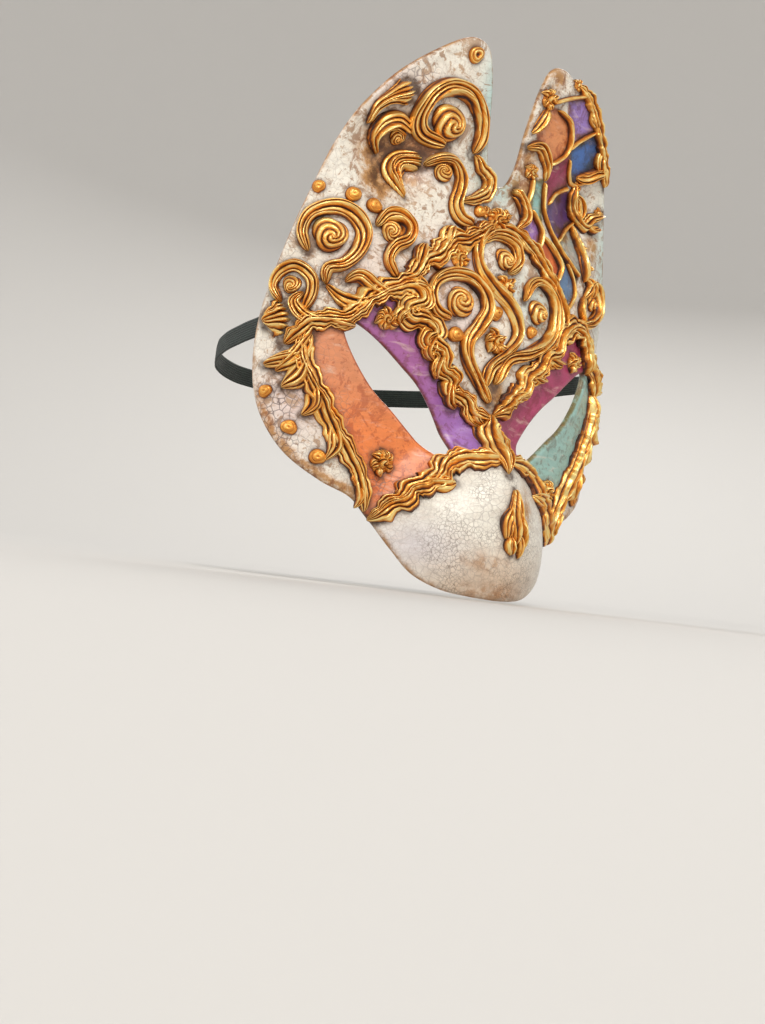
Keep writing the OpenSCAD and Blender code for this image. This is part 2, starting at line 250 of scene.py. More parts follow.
@dataclass(frozen=True)
class FaceForm:
    """The modelled surface that the face, its paint and its paste all follow (millimetres)."""

    half_width: float = 91.0
    turn_length: float = 91.0
    temple_turn: float = 0.263
    wrap_depth: float = 42.0
    wall: float = 2.5
    muzzle_out: float = 24.0
    nose_ridge: float = 7.5
    ear_hollow: float = 7.0
    ear_lean: float = 6.0
    eye_centre: Place = (43.0, 5.0)
    eye_half_length: float = 34.0
    eye_slant: float = math.radians(45.0)

    def turn(self, u: np.ndarray) -> np.ndarray:
        """Returns the angle that the surface has turned through at u, in radians."""
        return (u / self.turn_length) * (1.0 + self.temple_turn * np.abs(u / 100.0) ** 3)

    def raw_depth(self, u: np.ndarray, v: np.ndarray) -> np.ndarray:
        """Returns how far back the face is at a place, before it is set on the nose."""
        reach = np.where(v > -52.0, 50.0, 42.0)
        muzzle = (np.abs((u / 51.0) ** 2 + ((v + 52.0) / reach) ** 2)) ** 1.5
        cup = ((np.abs(u) - 52.0) / 24.0) ** 2 + ((v - 98.0) / 26.0) ** 2
        return (
            self.wrap_depth * (1.0 - 0.3 * ease((v - 30.0) / 110.0)) * (1.0 - np.cos(self.turn(u)))
            - 3.0 * hill(v - 28.0, 26.0) * hill(u, 60.0)
            + 6.0 * ease((v - 40.0) / 60.0)
            - self.ear_lean * ease((v - 95.0) / 70.0)
            - self.nose_ridge * hill(u, 13.0) * ease((40.0 - v) / 60.0)
            * (1.0 - 0.6 * ease((-15.0 - v) / 30.0))
            - self.muzzle_out * dome(muzzle)
            + self.ear_hollow * dome(cup)
        )

    def skin(self, u: np.ndarray, v: np.ndarray) -> np.ndarray:
        """Returns the points of the outer surface, in millimetres."""
        zero = np.zeros(1)
        seat = self.raw_depth(zero, zero)[0] + self.wall
        depth = self.raw_depth(u, v) - seat
        return np.stack([self.half_width * np.sin(self.turn(u)), depth, v], axis=-1)

    def lift(self, u: np.ndarray, v: np.ndarray, h: np.ndarray) -> np.ndarray:
        """Finds the points at height h above the face.

        Args:
            u, v: The places.
            h: Height above the outer surface at each place; it is negative inside.

        Returns:
            The points, in metres.
        """
        step = 0.5
        along = self.skin(u + step, v) - self.skin(u - step, v)
        up = self.skin(u, v + step) - self.skin(u, v - step)
        out = np.cross(along, up)
        out /= np.linalg.norm(out, axis=-1, keepdims=True)
        return (self.skin(u, v) + out * np.asarray(h)[..., None]) * MM

    def eye_edge(self, side: Side) -> np.ndarray:
        """Draws the edge of an eye opening.

        Args:
            side: Which eye it is for.

        Returns:
            The points of the edge in (u, v).
        """
        a = np.linspace(0.0, 2.0 * math.pi, 240, endpoint=False)
        along = np.cos(a - self.eye_slant)
        across = np.sin(a - self.eye_slant)
        half_height = np.where(across > 0, 8.5 - 1.2 * along, 6.8 + 1.2 * along)
        power = 1.8
        radius = (np.abs(along / self.eye_half_length) ** power
                  + np.abs(across / half_height) ** power) ** (-1.0 / power)
        u = self.eye_centre[0] + radius * np.cos(a)
        v = self.eye_centre[1] + radius * np.sin(a)
        return np.stack([side.value * u, v], axis=1)


FORM = FaceForm()

OUTLINE: Route = [
    (0, 96), (4, 98), (8, 107), (10, 122), (13, 138), (17, 148), (23, 151), (31, 149), (45, 140),
    (58, 129), (69, 115), (77, 100), (84, 82), (91, 64), (98, 42), (102, 22), (101, 3), (95, -12),
    (84, -25), (69, -34), (56, -39), (48, -47), (41, -57), (33, -66), (22, -71), (11, -72.5),
    (0, -73),
]


# ---------------------------------------------------------------- modelling

class Workbench:
    """The modelling steps that every piece is made with."""

    @staticmethod
    def only(obj: bpy.types.Object) -> None:
        """Selects one object and makes it the active one."""
        bpy.ops.object.select_all(action="DESELECT")
        obj.select_set(True)
        bpy.context.view_layer.objects.active = obj

    @classmethod
    def weld(cls, obj: bpy.types.Object, gap: float = 2e-6) -> None:
        """Merges touching points and turns the faces outwards."""
        cls.only(obj)
        bpy.ops.object.mode_set(mode="EDIT")
        bpy.ops.mesh.select_all(action="SELECT")
        bpy.ops.mesh.remove_doubles(threshold=gap)
        bpy.ops.mesh.dissolve_degenerate(threshold=1e-7)
        bpy.ops.mesh.normals_make_consistent(inside=False)
        bpy.ops.object.mode_set(mode="OBJECT")
        bpy.ops.object.shade_smooth()

    @staticmethod
    def mark(mesh: bpy.types.Mesh, name: str, values: np.ndarray) -> None:
        """Gives each point of a mesh a named value, for its material to read."""
        layer = mesh.attributes.new(name, "FLOAT", "POINT")
        layer.data.foreach_set("value", values.reshape(-1).astype(np.float32))

    @classmethod
    def grid(cls, name: str, points: np.ndarray, uv: np.ndarray,
             marks: dict[str, np.ndarray]) -> bpy.types.Object:
        """Shapes a grid over points laid out in rows and columns.

        Args:
            name: Name of the new object.
            points: Points in metres, rows by columns by three.
            uv: Surface coordinates, rows by columns by two.
            marks: Named values of each point, rows by columns.

        Returns:
            The new object.
        """
        rows, columns = points.shape[:2]
        bpy.ops.mesh.primitive_grid_add(
            x_subdivisions=columns - 1, y_subdivisions=rows - 1, size=1)
        obj = bpy.context.active_object
        obj.name = obj.data.name = name
        mesh = obj.data
        mesh.vertices.foreach_set("co", points.reshape(-1).astype(np.float32))
        for mark, values in marks.items():
            cls.mark(mesh, mark, values)
        corner = np.empty(len(mesh.loops), dtype=np.int32)
        mesh.loops.foreach_get("vertex_index", corner)
        mesh.uv_layers.active.data.foreach_set(
            "uv", uv.reshape(-1, 2)[corner].reshape(-1).astype(np.float32))
        return obj

    @classmethod
    def join(cls, name: str, parts: list[bpy.types.Object]) -> bpy.types.Object:
        """Joins several objects into one piece."""
        cls.only(parts[0])
        for part in parts:
            part.select_set(True)
        if len(parts) > 1:
            bpy.ops.object.join()
        piece = bpy.context.active_object
        piece.name = piece.data.name = name
        cls.weld(piece)
        return piece

    @staticmethod
    def dress(obj: bpy.types.Object, *finishes: bpy.types.Material) -> None:
        """Gives an object its materials, in order."""
        obj.data.materials.clear()
        for finish in finishes:
            obj.data.materials.append(finish)


# ---------------------------------------------------------------- materials

class Graph:
    """The node tree of one material, and short ways to add to it."""

    def __init__(self, name: str) -> None:
        """Starts a material with a shader and an output."""
        self.material = bpy.data.materials.new(name)
        self.material.use_nodes = True
        self.tree = self.material.node_tree
        self.tree.nodes.clear()
        self.shader = self.add("ShaderNodeBsdfPrincipled")
        output = self.add("ShaderNodeOutputMaterial")
        self.join(self.shader.outputs["BSDF"], output.inputs["Surface"])

    def add(self, kind: str, **settings: object) -> bpy.types.Node:
        """Adds a node with some of its settings."""
        node = self.tree.nodes.new(kind)
        for key, value in settings.items():
            setattr(node, key, value)
        return node

    def join(self, start: bpy.types.NodeSocket, end: bpy.types.NodeSocket) -> None:
        """Links two sockets."""
        self.tree.links.new(start, end)

    def put(self, socket: bpy.types.NodeSocket, value: object) -> None:
        """Links a socket to another one, or sets its number or colour."""
        if isinstance(value, bpy.types.NodeSocket):
            self.join(value, socket)
        else:
            socket.default_value = value

    def mark(self, name: str) -> bpy.types.NodeSocket:
        """Reads a named value of the mesh."""
        return self.add("ShaderNodeAttribute", attribute_name=name).outputs["Fac"]

    def tint(self, name: str) -> bpy.types.NodeSocket:
        """Reads a named colour of the mesh."""
        return self.add("ShaderNodeAttribute", attribute_name=name).outputs["Color"]

    def places(self, stretch: tuple[float, float, float] = (1, 1, 1),
               lay: bool = False) -> bpy.types.NodeSocket:
        """Gives texture coordinates: the object's own, or the lay of a strand."""
        source = self.add("ShaderNodeTexCoord").outputs["UV" if lay else "Object"]
        node = self.add("ShaderNodeMapping")
        self.join(source, node.inputs["Vector"])
        node.inputs["Scale"].default_value = stretch
        return node.outputs["Vector"]

    def noise(self, scale: float, detail: float = 3.0, rough: float = 0.55,
              at: bpy.types.NodeSocket | None = None, bend: float = 0.0) -> bpy.types.NodeSocket:
        """Gives soft noise from 0 to 1."""
        node = self.add("ShaderNodeTexNoise")
        self.join(at or self.places(), node.inputs["Vector"])
        node.inputs["Scale"].default_value = scale
        node.inputs["Detail"].default_value = detail
        node.inputs["Roughness"].default_value = rough
        node.inputs["Distortion"].default_value = bend
        return node.outputs["Fac"]

    def wobbly(self, scale: float, bend: float,
               stretch: tuple[float, float, float] = (1, 1, 1)) -> bpy.types.NodeSocket:
        """Gives the object's own coordinates, shaken so that lines drawn on them wander."""
        wobble = self.add("ShaderNodeTexNoise")
        self.join(self.places(), wobble.inputs["Vector"])
        wobble.inputs["Scale"].default_value = scale
        wobble.inputs["Detail"].default_value = 4.0
        shift = self.add("ShaderNodeVectorMath", operation="MULTIPLY_ADD")
        self.join(wobble.outputs["Color"], shift.inputs[0])
        shift.inputs[1].default_value = (bend, bend, bend)
        self.join(self.places(stretch), shift.inputs[2])
        return shift.outputs["Vector"]

    def cracks(self, scale: float, bend: float = 0.0012) -> bpy.types.NodeSocket:
        """Gives the distance to the nearest crack, in cells."""
        cell = self.add("ShaderNodeTexVoronoi", feature="DISTANCE_TO_EDGE")
        self.join(self.wobbly(scale * 0.9, bend), cell.inputs["Vector"])
        cell.inputs["Scale"].default_value = scale
        return cell.outputs["Distance"]

    def fit(self, value: bpy.types.NodeSocket, low: float, high: float,
            start: float = 0.0, end: float = 1.0) -> bpy.types.NodeSocket:
        """Moves a value from one range into another, smoothly and within its ends."""
        node = self.add("ShaderNodeMapRange", interpolation_type="SMOOTHSTEP")
        self.join(value, node.inputs["Value"])
        limits = {"From Min": low, "From Max": high, "To Min": start, "To Max": end}
        for key, number in limits.items():
            node.inputs[key].default_value = number
        return node.outputs["Result"]

    def sum(self, operation: str, a: object, b: object) -> bpy.types.NodeSocket:
        """Does one sum on two values."""
        node = self.add("ShaderNodeMath", operation=operation)
        self.put(node.inputs[0], a)
        self.put(node.inputs[1], b)
        return node.outputs[0]

    def mix(self, share: object, a: object, b: object, way: str = "MIX") -> bpy.types.NodeSocket:
        """Mixes two colours."""
        node = self.add("ShaderNodeMix", data_type="RGBA", blend_type=way)
        self.put(node.inputs[0], share)
        self.put(node.inputs[6], a)
        self.put(node.inputs[7], b)
        return node.outputs[2]

    def ramp(self, value: bpy.types.NodeSocket,
             stops: list[tuple[float, tuple[float, float, float, float]]]) -> bpy.types.NodeSocket:
        """Turns a value into a colour through a few stops."""
        node = self.add("ShaderNodeValToRGB")
        self.join(value, node.inputs["Fac"])
        elements = node.color_ramp.elements
        while len(elements) < len(stops):
            elements.new(0.5)
        for element, (where, colour) in zip(elements, stops):
            element.position = where
            element.color = colour
        return node.outputs["Color"]

    def relief(self, height: bpy.types.NodeSocket, depth: float, strength: float = 1.0) -> None:
        """Gives the surface fine relief of the given depth in metres."""
        node = self.add("ShaderNodeBump")
        node.inputs["Strength"].default_value = strength
        node.inputs["Distance"].default_value = depth
        self.join(height, node.inputs["Height"])
        self.join(node.outputs["Normal"], self.shader.inputs["Normal"])

    def set(self, key: str, value: object) -> None:
        """Sets or links one socket of the shader."""
        self.put(self.shader.inputs[key], value)


@dataclass(frozen=True)
class GildedPaste:
    """Gold paint over modelled paste, with dark wax and painted shade in the grooves and along the
    edges, and a painted highlight on the ridge tops.
    """

    name: str = "gilded_paste"
    painted_highlight: tuple = linear(255, 228, 150)
    body: tuple = linear(245, 180, 80)
    amber: tuple = linear(206, 124, 42)
    groove: tuple = linear(112, 54, 16)
    wax: tuple = linear(52, 24, 10)

    def make(self) -> bpy.types.Material:
        """Builds the material."""
        g = Graph(self.name)
        streak = g.noise(1.0, 3.0, 0.6, g.places((140, 2600, 1), lay=True))
        patch = g.noise(95.0, 3.0)
        worn = g.noise(420.0, 2.0)
        groove = g.mark("groove")
        depth = g.sum("ADD", groove, g.fit(streak, 0.3, 0.7, -0.16, 0.16))
        depth = g.sum("ADD", depth, g.fit(patch, 0.3, 0.7, -0.07, 0.11))
        depth = g.sum("ADD", depth, g.fit(worn, 0.62, 0.75, 0.0, 0.12))
        # The ramp paints a highlight on the highest paste, and painted shade with the dark wax in
        # the grooves and along the edges.
        colour = g.ramp(depth, [
            (0.0, self.painted_highlight), (0.12, self.body), (0.4, self.amber),
            (0.66, self.groove), (0.88, self.wax),
        ])
        g.set("Base Color", colour)
        g.set("Metallic", g.fit(depth, 0.45, 0.8, 0.66, 0.05))
        g.set("Roughness", g.fit(depth, 0.0, 0.8, 0.33, 0.66))
        g.set("Coat Weight", 0.15)
        g.set("Coat Roughness", 0.25)
        g.relief(g.sum("ADD", streak, g.sum("MULTIPLY", worn, 0.3)), 0.0004, 0.75)
        return g.material


@dataclass(frozen=True)
class PaintedMache:
    """Crackled and waxed paint over a gesso ground."""

    name: str = "painted_mache"
    brush_shade: tuple = linear(205, 196, 190)
    glow: tuple = linear(255, 250, 242)
    deep: tuple = linear(188, 140, 126)
    brown: tuple = linear(146, 100, 52)
    sand: tuple = linear(180, 140, 98)
    thin_wash: tuple = linear(238, 214, 196)
    crack: tuple = linear(120, 104, 100)
    craze: tuple = linear(98, 76, 58)
    glaze: tuple = linear(206, 158, 104)
    ochre: tuple = linear(112, 68, 30)
    umber: tuple = linear(66, 38, 16)
    crack_cells: float = 330.0
    craze_cells: float = 640.0

    def make(self) -> bpy.types.Material:
        """Builds the material."""
        g = Graph(self.name)
        paint = g.tint("paint")
        aged = g.mark("aged")
        brush = g.noise(1.0, 4.0, 0.65, g.places((160, 160, 420)), 0.6)
        cloud = g.noise(70.0, 4.0, 0.6)
        # The paint itself, with brush marks and clouds of a lighter coat.
        colour = g.mix(g.fit(brush, 0.3, 0.72, 0.0, 0.35), paint,
                       g.mix(1.0, paint, self.brush_shade, "MULTIPLY"))
        colour = g.mix(g.fit(cloud, 0.5, 0.8, 0.0, 0.3), colour, self.glow, "SOFT_LIGHT")
        # Blotches of three sizes, where old paint shows.
        blotch = g.fit(g.noise(130.0, 6.0, 0.7, None, 0.8), 0.52, 0.62, 0.0, 0.8)
        small = g.fit(g.noise(270.0, 5.0, 0.65, None, 0.4), 0.54, 0.62, 0.0, 0.8)
        speck = g.fit(g.noise(620.0, 3.0, 0.6), 0.62, 0.72, 0.0, 0.6)
        dirt = g.sum("MAXIMUM", g.sum("MAXIMUM", blotch, small), speck)
        dirt = g.sum("MULTIPLY", dirt, g.fit(g.mark("craze"), 0.3, 0.9, 1.0, 0.12))
        deep = g.mix(1.0, colour, self.deep, "MULTIPLY")
        hue = g.mix(g.fit(cloud, 0.42, 0.6), self.brown, self.sand)
        stained = g.mix(g.fit(aged, 0.25, 0.9, 0.0, 1.0), deep, hue)
        colour = g.mix(g.sum("MULTIPLY", dirt, g.fit(aged, 0.0, 1.0, 0.68, 0.95)), colour, stained)
        thin = g.fit(g.noise(1.0, 3.0, 0.6, g.places((90, 90, 300)), 0.8), 0.55, 0.75, 0.0, 0.4)
        colour = g.mix(g.sum("MULTIPLY", thin, g.fit(aged, 0.0, 1.0, 1.0, 0.3)), colour,
                       self.thin_wash)
        # Wide cracks, and a fine craze on the muzzle.
        line = g.fit(g.cracks(self.crack_cells), 0.0, 0.085, 1.0, 0.0)
        patchy = g.fit(g.noise(55.0, 3.0), 0.38, 0.6, 0.45, 1.0)
        line = g.sum("MULTIPLY", g.sum("MULTIPLY", line, patchy), g.mark("crack"))
        colour = g.mix(line, colour, self.crack)
        fine = g.fit(g.cracks(self.craze_cells, 0.0008), 0.0, 0.09, 1.0, 0.0)
        craze = g.sum("MULTIPLY", fine, g.mark("craze"))
        colour = g.mix(g.sum("MULTIPLY", craze, g.fit(cloud, 0.4, 0.62, 0.1, 0.62)), colour,
                       self.craze)
        # Stains, some with painted shade in hollows and beside raised gold, and dark wax with a
        # painted contact shadow beside the gilding.
        uneven = g.fit(g.noise(210.0, 4.0, 0.7), 0.35, 0.6, 0.35, 1.0)
        stain_and_shade = g.sum("MULTIPLY", g.mark("stain_and_shade"), uneven)
        glazed = g.mix(1.0, colour, self.glaze, "MULTIPLY")
        colour = g.mix(g.fit(stain_and_shade, 0.0, 0.4), colour, glazed)
        colour = g.mix(g.fit(stain_and_shade, 0.25, 0.95, 0.0, 0.95), colour,
                       g.mix(g.fit(cloud, 0.35, 0.65), self.umber, self.ochre))
        wax = g.sum("MULTIPLY", g.mark("wax"), g.fit(g.noise(300.0, 3.0), 0.3, 0.6, 0.55, 1.0))
        colour = g.mix(wax, colour, self.umber)
        g.set("Base Color", colour)
        matt = g.sum("ADD", brush, g.sum("MULTIPLY", wax, 0.4))
        g.set("Roughness", g.fit(matt, 0.3, 1.0, 0.36, 0.62))
        g.set("Coat Weight", 0.25)
        g.set("Coat Roughness", 0.3)
        height = g.sum("SUBTRACT", g.sum("MULTIPLY", brush, 0.5),
                       g.sum("MAXIMUM", line, g.sum("MULTIPLY", craze, 0.5)))
        g.relief(height, 0.0002, 0.7)
        return g.material


@dataclass(frozen=True)
class RawPaper:
    """Torn strips of paper in dried glue, on the hidden side of the face."""

    name: str = "raw_paper"
    light: tuple = linear(214, 199, 170)
    dark: tuple = linear(172, 148, 112)
    glue: tuple = linear(176, 140, 92)
    fibre: tuple = linear(146, 120, 88)
    seam: tuple = linear(126, 102, 74)
    strip_cells: float = 52.0

    def make(self) -> bpy.types.Material:
        """Builds the material."""
        g = Graph(self.name)
        torn = g.wobbly(230.0, 0.007, (1.0, 1.0, 0.4))
        strips = g.add("ShaderNodeTexVoronoi", feature="F1")
        edge = g.add("ShaderNodeTexVoronoi", feature="DISTANCE_TO_EDGE")
        for cells in (strips, edge):
            g.join(torn, cells.inputs["Vector"])
            cells.inputs["Scale"].default_value = self.strip_cells
        tone = g.add("ShaderNodeSeparateColor")
        g.join(strips.outputs["Color"], tone.inputs["Color"])
        fibre = g.noise(900.0, 4.0, 0.7)
        colour = g.mix(g.fit(tone.outputs["Red"], 0.0, 1.0, 0.1, 0.6), self.light, self.dark)
        glue = g.fit(g.noise(38.0, 4.0, 0.6), 0.5, 0.7, 0.0, 0.5)
        colour = g.mix(glue, colour, self.glue)
        colour = g.mix(g.fit(fibre, 0.35, 0.75, 0.0, 0.4), colour, self.fibre)
        seam = g.fit(edge.outputs["Distance"], 0.0, 0.04, 0.28, 0.0)
        colour = g.mix(seam, colour, self.seam)
        g.set("Base Color", colour)
        g.set("Roughness", g.fit(g.noise(60.0), 0.3, 0.7, 0.5, 0.8))
        step = g.sum("MULTIPLY", tone.outputs["Green"], 0.8)
        g.relief(g.sum("ADD", step, g.sum("MULTIPLY", fibre, 0.35)), 0.0004, 0.8)
        return g.material


@dataclass(frozen=True)
class GluedPaper:
    """A patch of paper glued over the end of the elastic."""

    name: str = "glued_paper"
    paper: tuple = linear(222, 208, 180)
    fibre: tuple = linear(170, 146, 110)
    glue: tuple = linear(186, 160, 118)

    def make(self) -> bpy.types.Material:
        """Builds the material."""
        g = Graph(self.name)
        fibre = g.noise(1100.0, 4.0, 0.7)
        colour = g.mix(g.fit(fibre, 0.3, 0.75, 0.0, 0.45), self.paper, self.fibre)
        colour = g.mix(g.fit(g.noise(150.0), 0.5, 0.75, 0.0, 0.5), colour, self.glue)
        g.set("Base Color", colour)
        g.set("Roughness", 0.72)
        g.relief(fibre, 0.0003, 0.7)
        return g.material


@dataclass(frozen=True)
class WovenElastic:
    """Dark green braid with lengthwise ribs."""

    name: str = "woven_elastic"
    yarn: tuple = linear(30, 48, 42)
    shade: tuple = linear(14, 22, 20)
    faded: tuple = linear(46, 66, 58)

    def make(self) -> bpy.types.Material:
        """Builds the material."""
        g = Graph(self.name)
        ribs, picks = self.yarns(g, "Y", 320.0), self.yarns(g, "X", 420.0)
        weave = g.sum("MULTIPLY", ribs, picks)
        weave = g.sum("ADD", g.sum("MULTIPLY", ribs, 0.6), weave)
        colour = g.mix(g.fit(weave, 0.1, 1.3, 0.0, 1.0), self.shade, self.yarn)
        colour = g.mix(g.fit(g.noise(260.0), 0.4, 0.8, 0.0, 0.3), colour, self.faded)
        g.set("Base Color", colour)
        g.set("Roughness", 0.78)
        g.set("Sheen Weight", 0.08)
        g.set("Sheen Roughness", 0.5)
        g.relief(weave, 0.00025, 0.8)
        return g.material

    @staticmethod
    def yarns(g: Graph, direction: str, scale: float) -> bpy.types.NodeSocket:
        """Gives the ridges of the yarns that lie one way."""
        wave = g.add("ShaderNodeTexWave", wave_type="BANDS", bands_direction=direction)
        g.join(g.places((1, 1, 1), lay=True), wave.inputs["Vector"])
        wave.inputs["Scale"].default_value = scale
        return wave.outputs["Fac"]


@dataclass(frozen=True)
class PlainStudio:
    """The pale matt surface that the mask stands on."""

    name: str = "plain_studio"
    grey: tuple = linear(205, 202, 197)

    def make(self) -> bpy.types.Material:
        """Builds the material."""
        g = Graph(self.name)
        g.set("Base Color", self.grey)
        g.set("Roughness", 0.85)
        return g.material


# ---------------------------------------------------------------- shapes of the paste

BED = -1.0  # height of the underside of all the paste, which is bedded in the paint
ROW_STEP = 0.6  # from one row of points to the next along a band
STRAND_COLUMNS = 7  # columns of points over one strand


class DiscKind(Enum):
    """What a round blob of paste is shaped into."""

    BEAD = "bead"
    EYELET = "eyelet"
    WHORL = "whorl"


class Flank(Enum):
    """An edge of a rope, as seen by someone who walks along it."""

    LEFT_HAND = -1
    RIGHT_HAND = 1


def rounded(distance: np.ndarray, reach: float) -> np.ndarray:
    """Returns the share of its full size that a round end has at a distance from its tip."""
    return np.sqrt(1.0 - (1.0 - np.clip(distance / reach, 0.0, 1.0)) ** 2)


@dataclass(frozen=True)
class Band:
    """A band of paste drawn in strands along a route.

    Attributes:
        route: Places that the middle of the band passes through.
        widths: Width at the start, the middle and the end.
        height: Height of the widest part.
        strands: Number of strands side by side.
        ruffle: How far the lobes at its edges swell, as a share of its half width.
        pitch: Distance from one lobe to the next.
        flare: How far the strands' tips stand out at the end, in millimetres.
        seed: Number that makes this band differ from the others.
    """

    route: Route
    widths: tuple[float, float, float]
    height: float = 4.2
    strands: int = 4
    ruffle: float = 0.0
    pitch: float = 12.0
    flare: float = 0.0
    seed: float = 0.0

    def spine(self) -> np.ndarray:
        """Returns the middle of the band, in even steps."""
        return even(smooth(self.route, 10), ROW_STEP)

    def footprint(self) -> np.ndarray:
        """Returns places along the band, each with the half width there."""
        spine = self.spine()[::2]
        return np.column_stack([spine, self.width_at(np.linspace(0, 1, len(spine))) / 2])

    def width_at(self, t: np.ndarray) -> np.ndarray:
        """Returns the width at shares t of the length."""
        a, b, c = self.widths
        return np.where(t < 0.5, a + (b - a) * ease(2 * t), b + (c - b) * ease(2 * t - 1))

    @staticmethod
    def heading(spine: np.ndarray) -> np.ndarray:
        """Returns which way the band runs at each row, evened out over the rows beside it."""
        way = np.gradient(spine, axis=0)
        beside = 5
        pad = np.pad(way, ((beside, beside), (0, 0)), mode="edge")
        way = sum(pad[k:k + len(way)] for k in range(2 * beside + 1))
        return way / np.linalg.norm(way, axis=1, keepdims=True)

    def lobes(self, run: np.ndarray) -> list[np.ndarray]:
        """Returns how far the lobes of each edge stand out at each row; both ends are calm."""
        calm = ease(run / 8.0) * ease((run[-1] - run) / 6.0)
        edges = []
        for offset in (0.0, 0.5):
            wave = (run / self.pitch + offset + self.seed) % 1.0
            frill = (run / self.pitch * 2.3 + offset + self.seed) % 1.0
            edges.append(calm * (np.sin(math.pi * wave ** 1.6)
                                 + 0.35 * np.sin(math.pi * frill ** 2.0)))
        return edges

    def phase(self, across: np.ndarray, run: np.ndarray) -> np.ndarray:
        """Counts the strands from one edge of the band to the other.

        Args:
            across: Place across the band from -1 to 1, rows by columns.
            run: Distance of each row from the start.

        Returns:
            The count at each point: whole numbers lie in the grooves between two strands.
        """
        share = (across + 1.0) / 2.0
        if self.strands > 1:
            drift = 0.34 * np.sin(run / 6.5 + self.seed * 7.0) * min(1.0, self.strands / 4)
        uneven = 0.42 * np.sin(run / 11.0 + self.seed * 11.0)[:, None]
        share = share + uneven * np.sin(2 * math.pi * share) / (2 * math.pi)
        share = share + 0.18 * np.sin(4 * math.pi * share + self.seed * 17.0) / (4 * math.pi)
        return self.strands * share + drift[:, None] if self.strands > 1 else share

    def build(self, name: str) -> bpy.types.Object:
        """Models the band.

        Args:
            name: Name of the new object.

        Returns:
            The band as a closed solid on the face.
        """
        spine = self.spine()
        run = run_along(spine)
        length = run[-1]
        way = self.heading(spine)
        sideways = np.column_stack([way[:, 1], -way[:, 0]])
        width = self.width_at(run / length)
        start = rounded(run, max(self.widths[0] * 1.1, 1.5))
        finish = rounded(length - run, 2.2 if self.flare else max(self.widths[2] * 1.1, 1.5))
        narrow = np.maximum(start * (1.0 if self.flare else finish), 0.12)

        # One ring of points goes over the strands and back along the underside.
        upper = np.linspace(-1.0, 1.0, self.strands * STRAND_COLUMNS + 1)
        under = np.array([0.6, 0.0, -0.6])
        ring = np.concatenate([upper, under, upper[:1]])[None, :]
        on_top = np.concatenate([np.ones(len(upper), bool), np.zeros(len(under), bool), [True]])

        # The lobes widen the edges, pull them back and lift them.
        first_edge, second_edge = self.lobes(run)
        lobe = np.where(ring < 0, first_edge[:, None], second_edge[:, None])
        swell = 1.0 + self.ruffle * (lobe - 0.4)
        side = ring * (width * narrow / 2)[:, None] * swell
        trail = -self.ruffle * 3.0 * np.abs(ring) ** 1.5 * lobe

        # The strands wander from side to side, and each has its own height.
        lean = 0.32 * np.sin(run / 9.0 + self.seed * 5.0)
        leaning = ring + lean[:, None] * (1.0 - ring ** 2)
        phase = self.phase(leaning, run)
        ridge = np.abs(np.sin(math.pi * phase))
        crown = 0.6 * (1.0 - (1.0 - ridge) ** 3) + 0.4 * ridge ** 1.3
        shape = np.clip(1.0 - np.abs(leaning) ** 2.6, 0.0, 1.0) ** 0.5
        lively = (1.0 + 0.3 * np.sin(2.3 * phase + self.seed * 3.0)
                  + 0.35 * self.ruffle * (lobe - 0.5))
        ripple = 0.05 * np.sin(run / 1.7 + self.seed * 9.0)[:, None]
        lively = lively + ripple * np.sin(3.1 * phase)
        peak = self.height * np.minimum(1.0, 0.45 + width / 12.0) * (start * finish)
        height = -0.5 + (peak[:, None] * lively + 0.5) * shape * (0.5 + 0.5 * crown)
        height = np.where(on_top[None, :], height, BED)
        # groove darkens the paste between strands and along the edges where it meets the paint:
        # dark wax with painted shade.
        groove = np.clip((1.0 - ridge) ** 1.9 * 1.2, 0, 1)
        groove = np.maximum(groove, 0.85 * ease((np.abs(ring) - 0.86) / 0.14))
        if self.flare:
            tip = ease((run - length + 7.0) / 7.0)[:, None]
            trail = (trail + tip * self.flare * (ridge - 0.5) * 1.6
                     - tip * ring ** 2 * width[:, None] * 0.32)

        place = (spine[:, None, :] + sideways[:, None, :] * side[..., None]
                 + way[:, None, :] * trail[..., None])
        place = with_ends(place, place[:1].mean(axis=1, keepdims=True),
                          place[-1:].mean(axis=1, keepdims=True))
        low = np.full((1, place.shape[1]), BED)
        height = np.concatenate([low, height, low])
        dark = np.full_like(low, 0.8)
        groove = np.concatenate([dark, groove, dark])
        along = np.concatenate([[0], run, [length]])
        half = np.concatenate([[0], width / 2, [0]])
        uv = lay_of(along[:, None], ring * half[:, None])
        points = FORM.lift(place[..., 0], place[..., 1], height)
        return Workbench.grid(name, points, uv, {"groove": groove})


def tufts(rope: Band, leafy: Flank) -> list[Band]:
    """Lays a small leaf on the outside of each bend of a rope.

    Args:
        rope: The rope.
        leafy: The edge that the leaves grow from.

    Returns:
        The leaves, as short bands.
    """
    spine = rope.spine()
    way = np.gradient(spine, axis=0)
    heading = np.unwrap(np.arctan2(way[:, 1], way[:, 0]))
    apart = 9
    clear_start = 14
    least_bend = 0.25
    pad = np.pad(heading, apart, mode="edge")
    bend = (pad[2 * apart:] - pad[:-2 * apart]) * leafy.value
    width = rope.width_at(np.linspace(0, 1, len(spine)))
    leaves: list[Band] = []
    last = -apart
    for i in range(clear_start, len(spine) - apart):
        sharpest = bend[i - 7:i + 8].max()
        if bend[i] < max(sharpest, least_bend) or i - last < apart:
            continue
        last = i
        step = way[i] / np.linalg.norm(way[i])
        across = np.array([step[1], -step[0]]) * leafy.value
        tip = spine[min(i + 7, len(spine) - 1)] + across * width[i] * 0.7
        middle = spine[i] + across * width[i] * 0.38
        size = width[i] / 8.0
        leaves.append(Band(
            [tuple(spine[max(i - 10, 0)]), tuple(middle), tuple(tip)],
            (2.6 * size, 6.2 * size, 3.0 * size), height=rope.height * 1.2, strands=5,
            seed=rope.seed + 0.23 * len(leaves),
        ))
    return leaves
